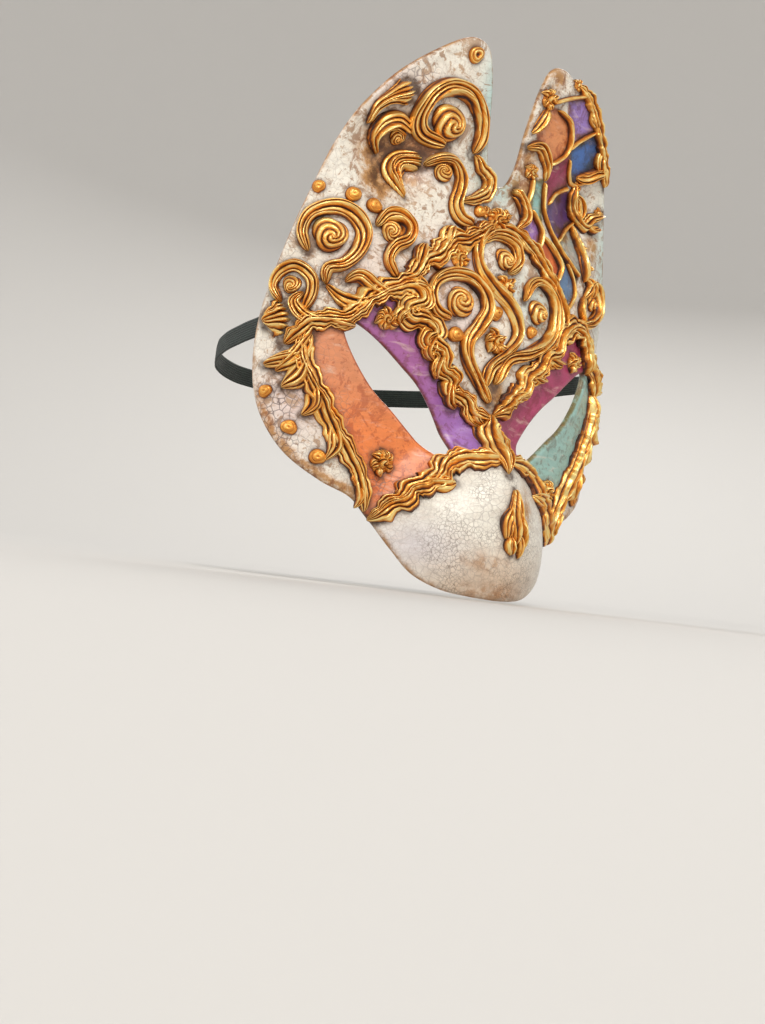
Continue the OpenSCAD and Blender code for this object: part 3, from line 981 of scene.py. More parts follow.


# Height and darkness of the plain discs, at these shares of the way out from the middle. The
# darkness is dark wax with painted shade, in hollows and at the foot of each disc.
DISC_STOPS = [0, 0.12, 0.28, 0.45, 0.56, 0.66, 0.8, 0.93, 1.0]
DISC_PROFILES = {
    DiscKind.BEAD: ([0.76, 0.8, 0.84, 0.76, 0.66, 0.63, 0.5, 0.24, -0.2],
                    [0.5, 0.34, 0.16, 0.2, 0.42, 0.3, 0.26, 0.55, 0.95]),
    DiscKind.EYELET: ([0.4, 0.44, 0.62, 0.8, 0.7, 0.54, 0.56, 0.34, -0.2],
                      [1.0, 0.85, 0.4, 0.0, 0.2, 0.62, 0.1, 0.35, 0.9]),
}


@dataclass(frozen=True)
class Disc:
    """A round blob of paste: a bead, or a whorl such as the end of a scroll has.

    Attributes:
        place: Where its middle is.
        radius: Its radius.
        kind: What it is shaped into.
        height: Height as a share of the radius.
        turns: Number of ridges met on the way out from the middle of a whorl.
        arms: Number of ridges that wind out from the middle of a whorl.
        seed: Number that makes this disc differ from the others.
    """

    place: Place
    radius: float
    kind: DiscKind = DiscKind.BEAD
    height: float = 0.9
    turns: float = 3.4
    arms: int = 3
    seed: float = 0.0

    def footprint(self) -> np.ndarray:
        """Returns the place of the disc with its radius."""
        return np.array([[self.place[0], self.place[1], self.radius]])

    def profile(self, rho: np.ndarray,
                angle: np.ndarray) -> tuple[np.ndarray, np.ndarray, np.ndarray]:
        """Shapes the top of the disc.

        Args:
            rho: Share of the radius, for each ring.
            angle: Angle about the middle, for each column.

        Returns:
            Height as a share of the radius, groove from 0 to 1, and swell of the edge.
        """
        r, a = np.meshgrid(rho, angle, indexing="ij")
        if self.kind is not DiscKind.WHORL:
            rise, dark = DISC_PROFILES[self.kind]
            swell = 1.0 + 0.09 * np.sin(2 * a + self.seed) + 0.05 * np.sin(3 * a + 2 * self.seed)
            wobble = (1.0 + 0.14 * np.sin(a + self.seed * 2) * r
                      + 0.05 * np.sin(3 * a + self.seed) * r)
            return (np.interp(r, DISC_STOPS, rise) * wobble, np.interp(r, DISC_STOPS, dark),
                    swell)
        phase = self.turns * r ** 0.8 - self.arms * a / (2 * math.pi) + self.seed
        phase = phase + 0.12 * np.sin(2 * a + self.seed * 6)
        ridge = np.abs(np.sin(math.pi * phase))
        shape = np.clip(1.0 - r ** 2.2, 0.0, 1.0) ** 0.6
        cut = 0.46 * ease(r / 0.3)
        rise = (shape * (1 - cut + cut * (1 - (1 - ridge) ** 2.4))
                * (1 + 0.2 * np.sin(a + self.seed * 8)))
        swell = 1.0 + 0.13 * np.sin(a + self.seed) + 0.05 * np.sin(3 * a + 2 * self.seed)
        swell = swell + 0.1 * (ridge - 0.5) * r
        # dark is dark wax with painted shade, in the whorl's grooves and round its foot.
        dark = np.maximum((1 - ridge) ** 1.8 * ease(r / 0.25), 0.85 * ease((r - 0.88) / 0.12))
        return rise - 0.12 * r ** 4, dark, swell

    def build(self, name: str) -> bpy.types.Object:
        """Models the disc.

        Args:
            name: Name of the new object.

        Returns:
            The disc as a closed solid on the face.
        """
        wound = self.kind is DiscKind.WHORL
        rings, count = (24, 72) if wound else (14, 36)
        rho = np.sin(np.linspace(0.0, math.pi / 2, rings))
        angle = np.linspace(0.0, 2 * math.pi, count + 1)
        rise, groove, swell = self.profile(rho, angle)
        out = np.concatenate([rho, [0.5, 0.0]])[:, None]  # the last two rings lie underneath
        height = np.concatenate([
            np.maximum(rise * self.radius * self.height, -0.6), np.full((2, count + 1), BED)
        ])
        groove = np.concatenate([groove, np.full((2, count + 1), 0.9)])
        swell = np.concatenate([swell, swell[-1:], swell[-1:]])
        reach = out * self.radius * swell
        lean = 0.26 * self.radius * (1 - out) if wound else 0.0
        u = self.place[0] + reach * np.cos(angle) - lean * math.cos(2 * math.pi * self.seed)
        v = self.place[1] + reach * np.sin(angle) - lean * math.sin(2 * math.pi * self.seed)
        height[0] = height[0].mean()
        uv = lay_of(angle[None, :] * self.radius * 0.6, reach)
        return Workbench.grid(name, FORM.lift(u, v, height), uv, {"groove": groove})


Shape = Band | Disc


def flower(place: Place, radius: float, petals: int = 5, seed: float = 0.0) -> list[Shape]:
    """Clumps small curls of paste into a flower.

    Args:
        place: Where its middle is.
        radius: Its radius.
        petals: Number of curls round the middle one.
        seed: Number that makes this flower differ from the others.

    Returns:
        The curls.
    """
    curls: list[Shape] = [
        Disc(place, radius * 0.8, height=0.36, seed=seed),
        Disc(place, radius * 0.42, DiscKind.WHORL, height=1.9, turns=1.6, arms=2, seed=seed),
    ]
    for k in range(petals):
        angle = 2 * math.pi * (k / petals + seed) + 0.25 * math.sin(5 * k + seed * 9)
        far = radius * (0.92 + 0.1 * math.sin(3 * k + seed * 7))
        bends = ((0.22 * radius, 0.0), (0.62 * radius, 0.1), (far, 0.42))
        route = [(place[0] + reach * math.cos(angle + turn),
                  place[1] + reach * math.sin(angle + turn)) for reach, turn in bends]
        widths = (0.3 * radius, 0.74 * radius, 0.4 * radius)
        curls.append(Band(route, widths, height=0.75 * radius, strands=3, seed=seed + 0.37 * k))
    return curls


@dataclass
class PasteWork:
    """A group of pieces of gilded paste: each node of the part, and the shapes it is made of."""

    @property
    def nodes(self) -> dict[str, list[Shape]]:
        """Returns the shapes of each node."""
        return {}

    def build(self, finish: bpy.types.Material) -> list[bpy.types.Object]:
        """Models every piece of the group and puts it in its node's place.

        Args:
            finish: The gilding.

        Returns:
            The new pieces.
        """
        pieces = []
        for node, shapes in self.nodes.items():
            parts = [shape.build(f"{node}_{k}") for k, shape in enumerate(shapes)]
            piece = Workbench.join(f"gilded_{node}", parts)
            Workbench.dress(piece, finish)
            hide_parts(node)
            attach(piece, "root")
            LOG.info("%s: %d points", piece.name, len(piece.data.vertices))
            pieces.append(piece)
        return pieces


BROW_ROPE_RIGHT: Route = [
    (-89, 17), (-84, 22), (-79, 27), (-72, 29), (-66, 31), (-62, 36), (-57, 41), (-48, 45),
    (-41, 46), (-38, 42), (-44, 38), (-42, 34), (-34, 34), (-30, 30), (-33, 26), (-26, 24),
    (-25, 17), (-20, 13), (-20, 8), (-13, 6), (-9, 1), (-1, 0),
]
BROW_ROPE_LEFT: Route = [
    (0, 1), (7, 6), (11, 11), (17, 15), (19, 21), (26, 24), (30, 30), (38, 33), (40, 40), (48, 46),
    (56, 46), (62, 42), (68, 35), (76, 30), (84, 20),
]
FOREHEAD_ROPE_RIGHT: Route = [
    (-47, 48), (-41, 52), (-38, 58), (-30, 62), (-25, 68), (-17, 70), (-9, 75), (-2, 80),
]
FOREHEAD_ROPE_LEFT: Route = [
    (1, 80), (10, 78), (20, 73), (27, 67), (34, 61), (39, 54), (44, 47),
]
CHEEK_ROPE: Route = [
    (-82, 22), (-84, 16), (-88, 8), (-85, 2), (-78, 1), (-74, -4), (-74, -10), (-68, -12),
    (-65, -18), (-65, -24), (-58, -26), (-55, -31), (-52, -37), (-50, -44),
]
CHEEK_STRANDS: Route = [
    (-81, 23), (-81, 15), (-79, 9), (-76, 3), (-72, -3), (-69, -9), (-65, -15), (-61, -20),
    (-57, -25), (-53, -31), (-51, -37), (-50, -44),
]
MUZZLE_ROPE: Route = [
    (-48.5, -47), (-45, -45), (-41, -40), (-37, -37), (-34, -32), (-28, -29), (-22, -22),
    (-16, -19), (-9, -18), (-2, -17),
]


@dataclass
class Ropes(PasteWork):
    """The ruffled ropes that part the painted panels."""

    widths: tuple[float, float, float] = (7.0, 9.0, 7.0)
    ruffle: float = 0.46

    def rope(self, route: Route, seed: float, leafy: Flank, scale: float = 1.0) -> list[Shape]:
        """Models a rope of six strands with leaves along one edge.

        Args:
            route: Places that the rope passes through.
            seed: Number that makes this rope differ from the others.
            leafy: The edge that the leaves grow from.
            scale: Share of the usual width.

        Returns:
            The rope and its leaves.
        """
        widths = tuple(w * scale for w in self.widths)
        rope = Band(route, widths, strands=6, ruffle=self.ruffle, pitch=8.5, seed=seed)
        return [rope, *tufts(rope, leafy)]

    def cheek(self, side: Side) -> list[Shape]:
        """Models the rope down one cheek, with leaves that point outwards."""
        leaves: list[tuple[Route, tuple[float, float, float]]] = [
            ([(-79, 22), (-83, 13), (-91, 6)], (5, 9, 2.6)),
            ([(-79, 13), (-82, 5), (-88, 0)], (5, 10, 4.5)),
            ([(-76, 4), (-75, -5), (-79, -10)], (5, 8, 3.5)),
            ([(-67, -11), (-65, -20), (-68, -26)], (5, 7, 2.4)),
            ([(-55, -30), (-52, -38), (-54, -43)], (4, 5.5, 2.2)),
        ]
        turned = mirrored if side is Side.LEFT else list
        seed = 0.8 if side is Side.RIGHT else 0.45
        shapes: list[Shape] = [Band(turned(CHEEK_STRANDS), (6.5, 8.5, 6.0), strands=5, ruffle=0.36,
                                    pitch=10.0, seed=seed)]
        for k, (leaf, widths) in enumerate(leaves):
            shapes.append(Band(turned(leaf), widths, height=4.8, seed=seed + 0.31 * k))
        return shapes

    @property
    def nodes(self) -> dict[str, list[Shape]]:
        """Returns the shapes of each node."""
        return {
            "brow_rope_right": [
                *self.rope(BROW_ROPE_RIGHT, 0.1, Flank.RIGHT_HAND),
                Band([(-50, 43), (-57, 44), (-64, 47), (-69, 44)], (4, 7, 4), seed=0.4),
                Band([(-46, 47), (-40, 49), (-34, 47)], (3, 6.5, 4), seed=0.7),
            ],
            "brow_rope_left": self.rope(BROW_ROPE_LEFT, 0.35, Flank.RIGHT_HAND),
            "forehead_rope_right": self.rope(FOREHEAD_ROPE_RIGHT, 0.6, Flank.LEFT_HAND),
            "forehead_rope_left": self.rope(FOREHEAD_ROPE_LEFT, 0.2, Flank.RIGHT_HAND, 0.65),
            "cheek_rope_right": self.cheek(Side.RIGHT),
            "cheek_rope_left": self.cheek(Side.LEFT),
            "muzzle_rope_right": self.rope(MUZZLE_ROPE, 0.3, Flank.RIGHT_HAND, 0.85),
            "muzzle_rope_left": self.rope(mirrored(MUZZLE_ROPE), 0.7, Flank.LEFT_HAND, 0.85),
        }


def cheek_edge(side: Side, seeds: tuple[float, ...]) -> dict[str, list[Shape]]:
    """Models the scallop, the three beads and the leaf along the edge of one cheek.

    Args:
        side: Which cheek it is.
        seeds: Numbers for the scallop, each bead and the leaf.

    Returns:
        The shapes of the three nodes.
    """
    turned = mirrored if side is Side.LEFT else list
    name = side.name.lower()
    beads = zip(turned([(-94, -2), (-83, -15), (-71, -25)]), (2.8, 3.2, 3.4), seeds[1:4])
    return {
        f"scallop_{name}": [
            Band(turned([(-99, 25), (-95, 26), (-89, 27)]), (3, 11, 16), strands=8, flare=1.8,
                 height=4.0, seed=seeds[0]),
        ],
        f"cheek_beads_{name}": [Disc(place, radius, seed=seed) for place, radius, seed in beads],
        f"cheek_leaf_{name}": [
            Band(turned([(-80, 16), (-87, 11), (-96, 8)]), (5, 7.5, 4), strands=5, seed=seeds[4]),
        ],
    }


@dataclass
class RightEar(PasteWork):
    """The scrolls and leaves on the right ear."""

    @property
    def nodes(self) -> dict[str, list[Shape]]:
        """Returns the shapes of each node."""
        whorl = DiscKind.WHORL
        return {
            "ear_tip_bead_right": [Disc((-24, 144), 3.6, DiscKind.EYELET)],
            "ear_plume_right": [
                Band([(-65, 108), (-63, 115), (-58, 120), (-51, 124)], (2.5, 5, 11), strands=6,
                     flare=2.2, seed=0.3),
            ],
            "ear_hook_leaf_right": [
                Band([(-56, 98), (-60, 104), (-57, 110), (-51, 112), (-45, 109)], (2, 8.5, 6),
                     strands=5, flare=1.2, seed=0.5),
                Disc((-49, 106), 3.2, whorl, seed=0.4),
            ],
            "ear_lower_leaf_right": [
                Band([(-45, 82), (-49, 91), (-46, 97), (-39, 98)], (2, 10, 9), strands=6, flare=2.0,
                     seed=0.9),
            ],
            "ear_scroll_right": [
                Band([(-16, 106), (-14, 113), (-16, 121), (-23, 128), (-33, 129), (-41, 124),
                      (-44, 116), (-40, 109), (-30, 106)], (6.5, 8, 6.5), seed=0.15),
                Disc((-31, 114.5), 7.7, whorl, seed=0.45, height=0.7),
            ],
            "ear_small_scroll_right": [
                Band([(-13, 77), (-20, 78), (-23, 83), (-21, 90), (-21, 96), (-25, 101), (-31, 101),
                      (-37, 97)], (5.5, 6, 4.5), seed=0.7),
                Disc((-29.5, 95), 4.0, whorl, seed=0.8, height=0.8),
            ],
            "ear_base_leaf_right": [
                Band([(-15, 106), (-11, 101), (-6, 97), (-8, 91), (-13, 88), (-19, 86)], (4, 7, 4),
                     ruffle=0.3, pitch=9, seed=0.55),
            ],
            "ear_base_bead_right": [Disc((-10, 83.5), 2.9, seed=1.0)],
        }


@dataclass
class RightTemple(PasteWork):
    """The spirals, curls and beads on the right temple and cheek."""

    @property
    def nodes(self) -> dict[str, list[Shape]]:
        """Returns the shapes of each node."""
        whorl = DiscKind.WHORL
        return {
            "temple_beads_right": [
                Disc((-82, 80), 2.8, seed=0.3), Disc((-68, 79), 3.3, seed=0.9),
                Disc((-59, 76), 3.4, seed=1.7),
            ],
            "temple_spiral_right": [
                Band([(-76, 42), (-76, 48), (-70, 51), (-65, 57), (-63, 64), (-66, 70), (-72, 73),
                      (-79, 72), (-85, 68), (-87, 61), (-84, 54)], (5, 7.5, 5), seed=0.4),
                Disc((-76.5, 61), 7.0, whorl, seed=0.4, height=0.7),
            ],
            "brow_scroll_right": [
                Band([(-48, 49), (-52, 55), (-50, 61), (-45, 65), (-44, 70), (-48, 73.5), (-54, 73),
                      (-58, 68)], (5, 6.5, 4.5), seed=0.25),
                Disc((-51.5, 66.5), 4.4, whorl, seed=0.1, height=0.8),
            ],
            "edge_spiral_right": [
                Band([(-83, 31), (-81, 38), (-82, 44), (-88, 48), (-94, 45), (-96, 39), (-92, 33)],
                     (5, 5.5, 4), seed=0.65),
                Disc((-89, 40), 3.6, whorl, seed=0.3, height=0.8),
            ],
            "temple_curl_right": [
                Band([(-74, 28), (-79, 28), (-84, 30), (-87, 34), (-84, 38)], (5, 6.5, 3.5),
                     seed=0.2),
                Band([(-55, 41), (-62, 36), (-69, 37), (-76, 42)], (4, 7.5, 2.6), seed=0.6),
            ],
            **cheek_edge(Side.RIGHT, (0.0, 0.2, 2.1, 1.2, 0.5)),
            "brow_rosette_right": flower((-51, 32), 5.4, 6, seed=0.2),
            "cheek_rosette_right": flower((-45, -24), 5.9, 6, seed=0.55),
        }


@dataclass
class Forehead(PasteWork):
    """The scrolls, flowers and beads between the brows, and the leaves on the nose."""

    @property
    def nodes(self) -> dict[str, list[Shape]]:
        """Returns the shapes of each node."""
        whorl = DiscKind.WHORL
        return {
            "forehead_knot": [
                *flower((-1, 82), 5.6, 6, seed=0.1), *flower((-6.5, 84), 3.0, 5, seed=0.5),
                *flower((4.5, 84.5), 3.2, 5, seed=0.2), *flower((-5, 78.5), 2.6, 4, seed=0.8),
            ],
            "forehead_loop": [
                Band([(-2, 6), (-8, 14), (-14, 22), (-15, 29), (-10, 36), (-6, 43), (-8, 50),
                      (-15, 55), (-24, 55), (-31, 51), (-33, 45), (-30, 39), (-23, 37)],
                     (5, 6.8, 5), seed=0.35),
                Disc((-20, 43.5), 6.3, whorl, seed=0.9, height=0.75),
            ],
            "forehead_s_scroll": [
                Band([(-4, 78), (-10, 70), (-10, 61), (-4, 54), (5, 48), (10, 42), (11, 35),
                      (5, 27), (-3, 20), (-5, 12)], (5.5, 6.5, 5), seed=0.75),
            ],
            "forehead_hook": [
                Band([(-8, 71), (-3, 75), (4, 76), (10, 73), (11, 66), (6, 61)], (4, 6.5, 5),
                     strands=5, seed=0.45),
                Disc((3.5, 66), 4.6, whorl, seed=0.3, height=0.8),
            ],
            "forehead_spiral": [
                Band([(0, 14), (6, 24), (19, 30), (31, 38), (35, 47), (33, 56), (25, 61), (18, 58),
                      (15, 51)], (5, 6, 4), seed=0.05),
                Disc((23, 47.5), 5.2, whorl, seed=0.4, height=0.8),
            ],
            "forehead_flowers": [
                *flower((4, 55), 5.4, 5, seed=0.3), *flower((-1, 31.5), 5.9, 6, seed=0.75),
                *flower((-20, 62), 5.2, 5, seed=0.1),
            ],
            "forehead_beads": [
                Disc((-1, 43), 3.3, seed=0.1), Disc((-20.5, 31), 3.6, seed=1.3),
                Disc((20, 39), 2.9, seed=0.6),
            ],
            "bridge_leaf": [
                Band([(-1, 2), (-2, -5), (-2, -12), (-1, -17), (-1, -22)], (6, 12, 5), strands=6,
                     ruffle=0.35, pitch=9, seed=0.15),
            ],
            "nose_leaf": [
                Band([(0, -28), (0, -35), (1, -42), (1, -50)], (2.5, 8, 6), strands=5, seed=0.6),
                Band([(-1, -34), (-4, -41), (-3, -48)], (2, 5, 3), strands=3, seed=0.2),
                Band([(2, -36), (5, -43), (6, -51)], (2, 5.5, 3), strands=3, seed=0.9),
                Band([(-2, -46), (-2, -50), (0, -54)], (3, 4.5, 2.5), strands=3, seed=0.4),
                Band([(3, -45), (4, -50), (4, -55)], (3, 4.5, 2.5), strands=3, seed=0.7),
            ],
        }


@dataclass
class LeftSide(PasteWork):
    """The lattice, ropes and flowers on the left ear, temple and cheek."""

    lattice_width: tuple[float, float, float] = (2.2, 2.4, 2.2)

    def lattice(self) -> list[Shape]:
        """Returns the thin gilded lines round the painted diamonds."""
        lines: list[Route] = [
            [(21, 136), (30, 140), (41, 144)],
            [(25, 134), (33, 131), (36, 124), (34, 117), (26, 111)],
            [(36, 120), (43, 126), (53, 132)],
            [(39, 117), (42, 111), (50, 109), (66, 116)],
            [(29, 95), (34, 101), (46, 107)],
            [(25, 104), (26, 93), (30, 86), (37, 79), (44, 74), (54, 69)],
            [(18, 91), (25, 83), (24, 75)],
            [(26, 81), (34, 76), (39, 70), (36, 63)],
            [(38, 81), (47, 88), (56, 94)],
            [(44, 74), (50, 67), (51, 60), (45, 53)],
        ]
        return [Band(line, self.lattice_width, height=3.4, strands=1, seed=k * 0.37)
                for k, line in enumerate(lines)]

    @property
    def nodes(self) -> dict[str, list[Shape]]:
        """Returns the shapes of each node."""
        return {
            "ear_lattice_left": self.lattice(),
            "ear_rosette_left": flower((18, 137), 5.0, 6, seed=0.4),
            "ear_leaf_left": [
                Band([(19, 133), (16, 127), (12, 121)], (4, 5, 2.5), strands=3, seed=0.1),
            ],
            "ear_scroll_left": [
                Band([(11, 115), (18, 117), (24, 111), (25, 104)], (4, 6, 3), seed=0.5),
            ],
            "ear_small_rosette_left": [
                *flower((16, 106), 4.0, 6, seed=0.9),
                Band([(17, 104), (17, 98), (15, 92)], (2, 2.4, 2), height=3, strands=1, seed=0.2),
            ],
            "ear_base_hook_left": [
                Band([(10, 80), (15, 85), (13, 91), (8, 96)], (3, 6, 5), flare=1.4, seed=0.3),
            ],
            "ear_edge_rope_left": [
                Band([(33, 147), (42, 143), (50, 136), (58, 127), (64, 119), (70, 112)],
                     (4, 4.5, 4), strands=3, ruffle=0.55, pitch=7, seed=0.25),
                *flower((34, 147), 3.0, 5, seed=0.35), *flower((56, 129.5), 2.6, 4, seed=0.7),
                Band([(45, 141), (47, 136), (52, 133)], (2.5, 4, 2.5), strands=2, seed=0.3),
                Band([(59, 126), (58, 121), (62, 117)], (2.5, 4, 2.5), strands=2, seed=0.8),
            ],
            "ear_edge_scroll_left": [
                Band([(51, 110), (52, 102), (57, 97), (62, 94), (67, 98), (74, 101)], (5, 6, 4),
                     ruffle=0.4, pitch=9, seed=0.6),
                Band([(49, 112), (55, 113), (61, 116), (67, 118)], (4, 6, 3.5), seed=0.1),
                Band([(53, 106), (57, 104), (60, 99), (59, 95)], (3, 5, 3), strands=3, seed=0.45),
                *flower((52, 108), 3.3, 5, seed=0.65), *flower((70, 101), 2.8, 5, seed=0.2),
                Band([(63, 96), (67, 93), (72, 95)], (3, 5, 3), strands=3, seed=0.9),
            ],
            "temple_knot_left": [
                Band([(54, 93), (56, 85), (58, 77), (60, 68)], (4, 5, 5), strands=3, ruffle=0.3,
                     pitch=8, seed=0.8),
                Band([(60, 70), (65, 67), (67, 62)], (3, 5, 3), strands=3, seed=0.4),
                *flower((61, 74), 4.4, 5, seed=0.15), *flower((60, 82), 3.2, 4, seed=0.6),
            ],
            "temple_loop_left": [
                Band([(58, 48), (66, 51), (73, 57), (73, 65), (66, 68), (60, 61)], (5, 5.5, 4),
                     seed=0.35),
                Disc((67, 60), 3.6, DiscKind.WHORL, seed=0.5),
                Band([(60, 62), (57, 56), (60, 50)], (3, 5, 3), strands=3, seed=0.75),
            ],
            **cheek_edge(Side.LEFT, (0.4, 0.7, 1.1, 0.2, 0.1)),
            "brow_rosette_left": flower((53, 32), 4.9, 6, seed=0.8),
            "cheek_rosette_left": flower((45, -24), 5.3, 6, seed=0.05),
        }


# ---------------------------------------------------------------- the painted face

@dataclass(frozen=True)
class Spot:
    """A soft spot on the paint: where, how wide each way, how strong, and a tint's colour."""

    place: Place
    reach: Place
    strength: float
    colour: tuple[float, float, float, float] | None = None

    def share(self, u: np.ndarray, v: np.ndarray) -> np.ndarray:
        """Returns the strength of the spot at each place."""
        q = ((u - self.place[0]) / self.reach[0]) ** 2 + ((v - self.place[1]) / self.reach[1]) ** 2
        return self.strength * np.exp(-q)


CREAM = linear(240, 236, 224)
TEAL = linear(150, 190, 182)
PALE_TEAL = linear(176, 208, 206)
PINK = linear(222, 178, 184)
ORANGE = linear(236, 132, 66)
ROSE_ORANGE = linear(220, 142, 98)
PURPLE = linear(160, 108, 190)
LILAC = linear(166, 96, 158)
MAGENTA = linear(168, 56, 100)


@dataclass
class PaintPlan:
    """Where each colour lies on the face."""

    diamonds: list[tuple[tuple, Route]] = field(default_factory=lambda: [
        (linear(214, 138, 84),
         [(18, 133), (25, 135), (33, 131), (36, 124), (34, 117), (26, 110), (17, 116), (15, 124)]),
        (linear(150, 122, 196), [(30, 140), (41, 144), (53, 132), (43, 126), (36, 121), (33, 131)]),
        (linear(58, 104, 176),
         [(36, 120), (43, 126), (53, 132), (62, 122), (66, 116), (50, 109), (42, 111), (39, 117)]),
        (linear(150, 44, 84),
         [(34, 117), (36, 120), (39, 117), (42, 111), (46, 107), (34, 101), (29, 95), (26, 104),
          (26, 111)]),
        (linear(84, 58, 118),
         [(29, 95), (34, 101), (46, 107), (52, 103), (56, 94), (47, 88), (38, 81), (30, 86),
          (27, 91)]),
        (linear(140, 190, 186), [(19, 104), (25, 105), (26, 93), (26, 84), (18, 91)]),
        (linear(152, 112, 186), [(18, 91), (25, 83), (24, 74), (14, 78), (12, 86)]),
        (linear(222, 116, 54), [(25, 84), (34, 76), (39, 70), (36, 63), (27, 66), (24, 75)]),
        (linear(92, 124, 160), [(39, 72), (44, 74), (54, 69), (50, 59), (42, 54), (36, 63)]),
        (linear(160, 170, 166), [(38, 81), (47, 88), (56, 94), (60, 82), (58, 69), (44, 74)]),
    ])
    spots: list[Spot] = field(default_factory=lambda: [
        Spot((-11, 130), (7, 28), 0.95, PALE_TEAL),
        Spot((-2, 96), (12, 9), 0.85, PALE_TEAL),
        Spot((84, 92), (13, 40), 0.75, PALE_TEAL),
        Spot((24, 47), (9, 11), 0.6, PALE_TEAL),
        Spot((12, 56), (10, 9), 0.35, PALE_TEAL),
        Spot((-82, -4), (16, 16), 0.45, PINK),
        Spot((-22, 40), (13, 14), 0.35, PINK),
        Spot((-22, 62), (13, 9), 0.55, PINK),
        Spot((-38, 100), (10, 8), 0.45, PINK),
        Spot((-60, 55), (18, 12), 0.2, PINK),
        Spot((-55, 125), (20, 9), 0.25, PINK),
        Spot((0, -66), (30, 12), 0.6, linear(198, 158, 118)),
        Spot((-34, -54), (14, 10), 0.4, linear(196, 190, 214)),
    ])
    stains_and_shade: list[Spot] = field(default_factory=lambda: [
        # The first four darken the right ear's hollow and the gap between its scroll and hook, and
        # a few on the left ear lie along its gold lattice: stain with painted shade. The rest are
        # stains.
        Spot((-51, 98), (13, 13), 1.0),
        Spot((-40, 104), (9, 5), 0.95),
        Spot((-56, 89), (7, 9), 0.95),
        Spot((-47, 112), (6, 4), 0.6),
        Spot((21, 146), (6, 5), 0.5),
        Spot((12, 99), (8, 8), 0.7),
        Spot((14, 111), (5, 6), 0.45),
        Spot((68, 84), (5, 6), 0.55),
        Spot((43, 126), (5, 2.5), 0.8),
        Spot((36, 101), (7, 2.5), 0.7),
        Spot((44, 86), (7, 3), 0.7),
        Spot((55, 118), (5, 9), 0.35),
        Spot((0, 10), (5, 8), 0.8),
        Spot((8, 66), (5, 5), 0.6),
        Spot((0, -70), (26, 5), 0.28),
        Spot((8, -36), (6, 9), 0.4),
        Spot((-10, -58), (12, 5), 0.25),
    ])
    crackle: list[Spot] = field(default_factory=lambda: [
        Spot((-86, -6), (14, 30), 1.0),
        Spot((86, -6), (14, 30), 1.0),
        Spot((-93, 48), (9, 16), 0.9),
        Spot((-46, 128), (18, 9), 0.8),
        Spot((-58, 100), (9, 9), 0.8),
        Spot((-47, -30), (13, 9), 0.75),
        Spot((-64, -8), (6, 12), 0.4),
        Spot((0, -46), (36, 26), 0.5),
        Spot((-74, 44), (12, 8), 0.7),
    ])

    def lower_panel(self, side: Side) -> np.ndarray:
        """Returns the closed line round the panels about one eye."""
        if side is Side.RIGHT:
            loop = BROW_ROPE_RIGHT + MUZZLE_ROPE[::-1] + CHEEK_ROPE[::-1]
        else:
            loop = BROW_ROPE_LEFT + mirrored(CHEEK_ROPE) + mirrored(MUZZLE_ROPE)
        return np.array(loop, dtype=float)

    @staticmethod
    def lay(paint: np.ndarray, share: np.ndarray, colour: object) -> None:
        """Lays a colour over the paint, by its share at each place."""
        paint[:] = paint + share[:, None] * (np.asarray(colour) - paint)

    def colours(self, u: np.ndarray, v: np.ndarray) -> dict[str, np.ndarray]:
        """Works out the paint at each place.

        Args:
            u, v: The places.

        Returns:
            The paint colour, how aged it is, how cracked, how finely crazed, and how much stain and
            painted shade it has.
        """
        places = np.column_stack([u, v])
        shift = np.column_stack([lumps(places, 0.35, 3.0), lumps(places, 0.35, 9.0)])
        rough = places + 0.5 * shift
        paint = np.tile(np.array(CREAM), (len(u), 1))
        for spot in self.spots:
            self.lay(paint, spot.share(u, v), spot.colour)
        aged = np.ones(len(u))
        above = ease((v - np.abs(u) + 40.0) / 4.0)
        for side, upper, upper_in, lower, lower_in in (
            (Side.RIGHT, LILAC, PURPLE, ROSE_ORANGE, ORANGE),
            (Side.LEFT, MAGENTA, MAGENTA, TEAL, TEAL),
        ):
            share = coverage(rough, self.lower_panel(side))
            blend = ease((42.0 - np.abs(u)) / 34.0)[:, None]
            down = ease((14.0 - v) / 30.0)[:, None]
            high = np.array(upper) * (1 - blend) + np.array(upper_in) * blend
            low = np.array(lower) * (1 - down) + np.array(lower_in) * down
            self.lay(paint, share, high * above[:, None] + low * (1 - above[:, None]))
            aged = aged * (1 - 0.8 * share)
        stain_and_shade = np.zeros(len(u))
        for colour, corners in self.diamonds:
            outline = np.array(corners, dtype=float)
            share = coverage(rough, outline, 0.5)
            self.lay(paint, share, colour)
            aged = aged * (1 - 0.75 * share)
            # Each diamond darkens along its edges, beside the raised gold lines: antiquing with
            # painted shade.
            rim = edge_distance(rough, outline)
            stain_and_shade = np.maximum(stain_and_shade, 0.75 * share * np.exp(-rim / 1.6))
        below = [(50, -60), (0, -80), (-50, -60)]
        around = np.array(MUZZLE_ROPE + mirrored(MUZZLE_ROPE)[::-1] + below, dtype=float)
        muzzle = coverage(rough, around)
        for spot in self.stains_and_shade:
            stain_and_shade = np.maximum(stain_and_shade, spot.share(u, v))
        crack = 0.26 * aged
        for spot in self.crackle:
            crack = np.maximum(crack, spot.share(u, v))
        return {"paint": paint, "aged": aged * (1 - 0.4 * muzzle), "crack": crack,
                "craze": np.maximum(0.25 * aged, muzzle), "stain_and_shade": stain_and_shade}


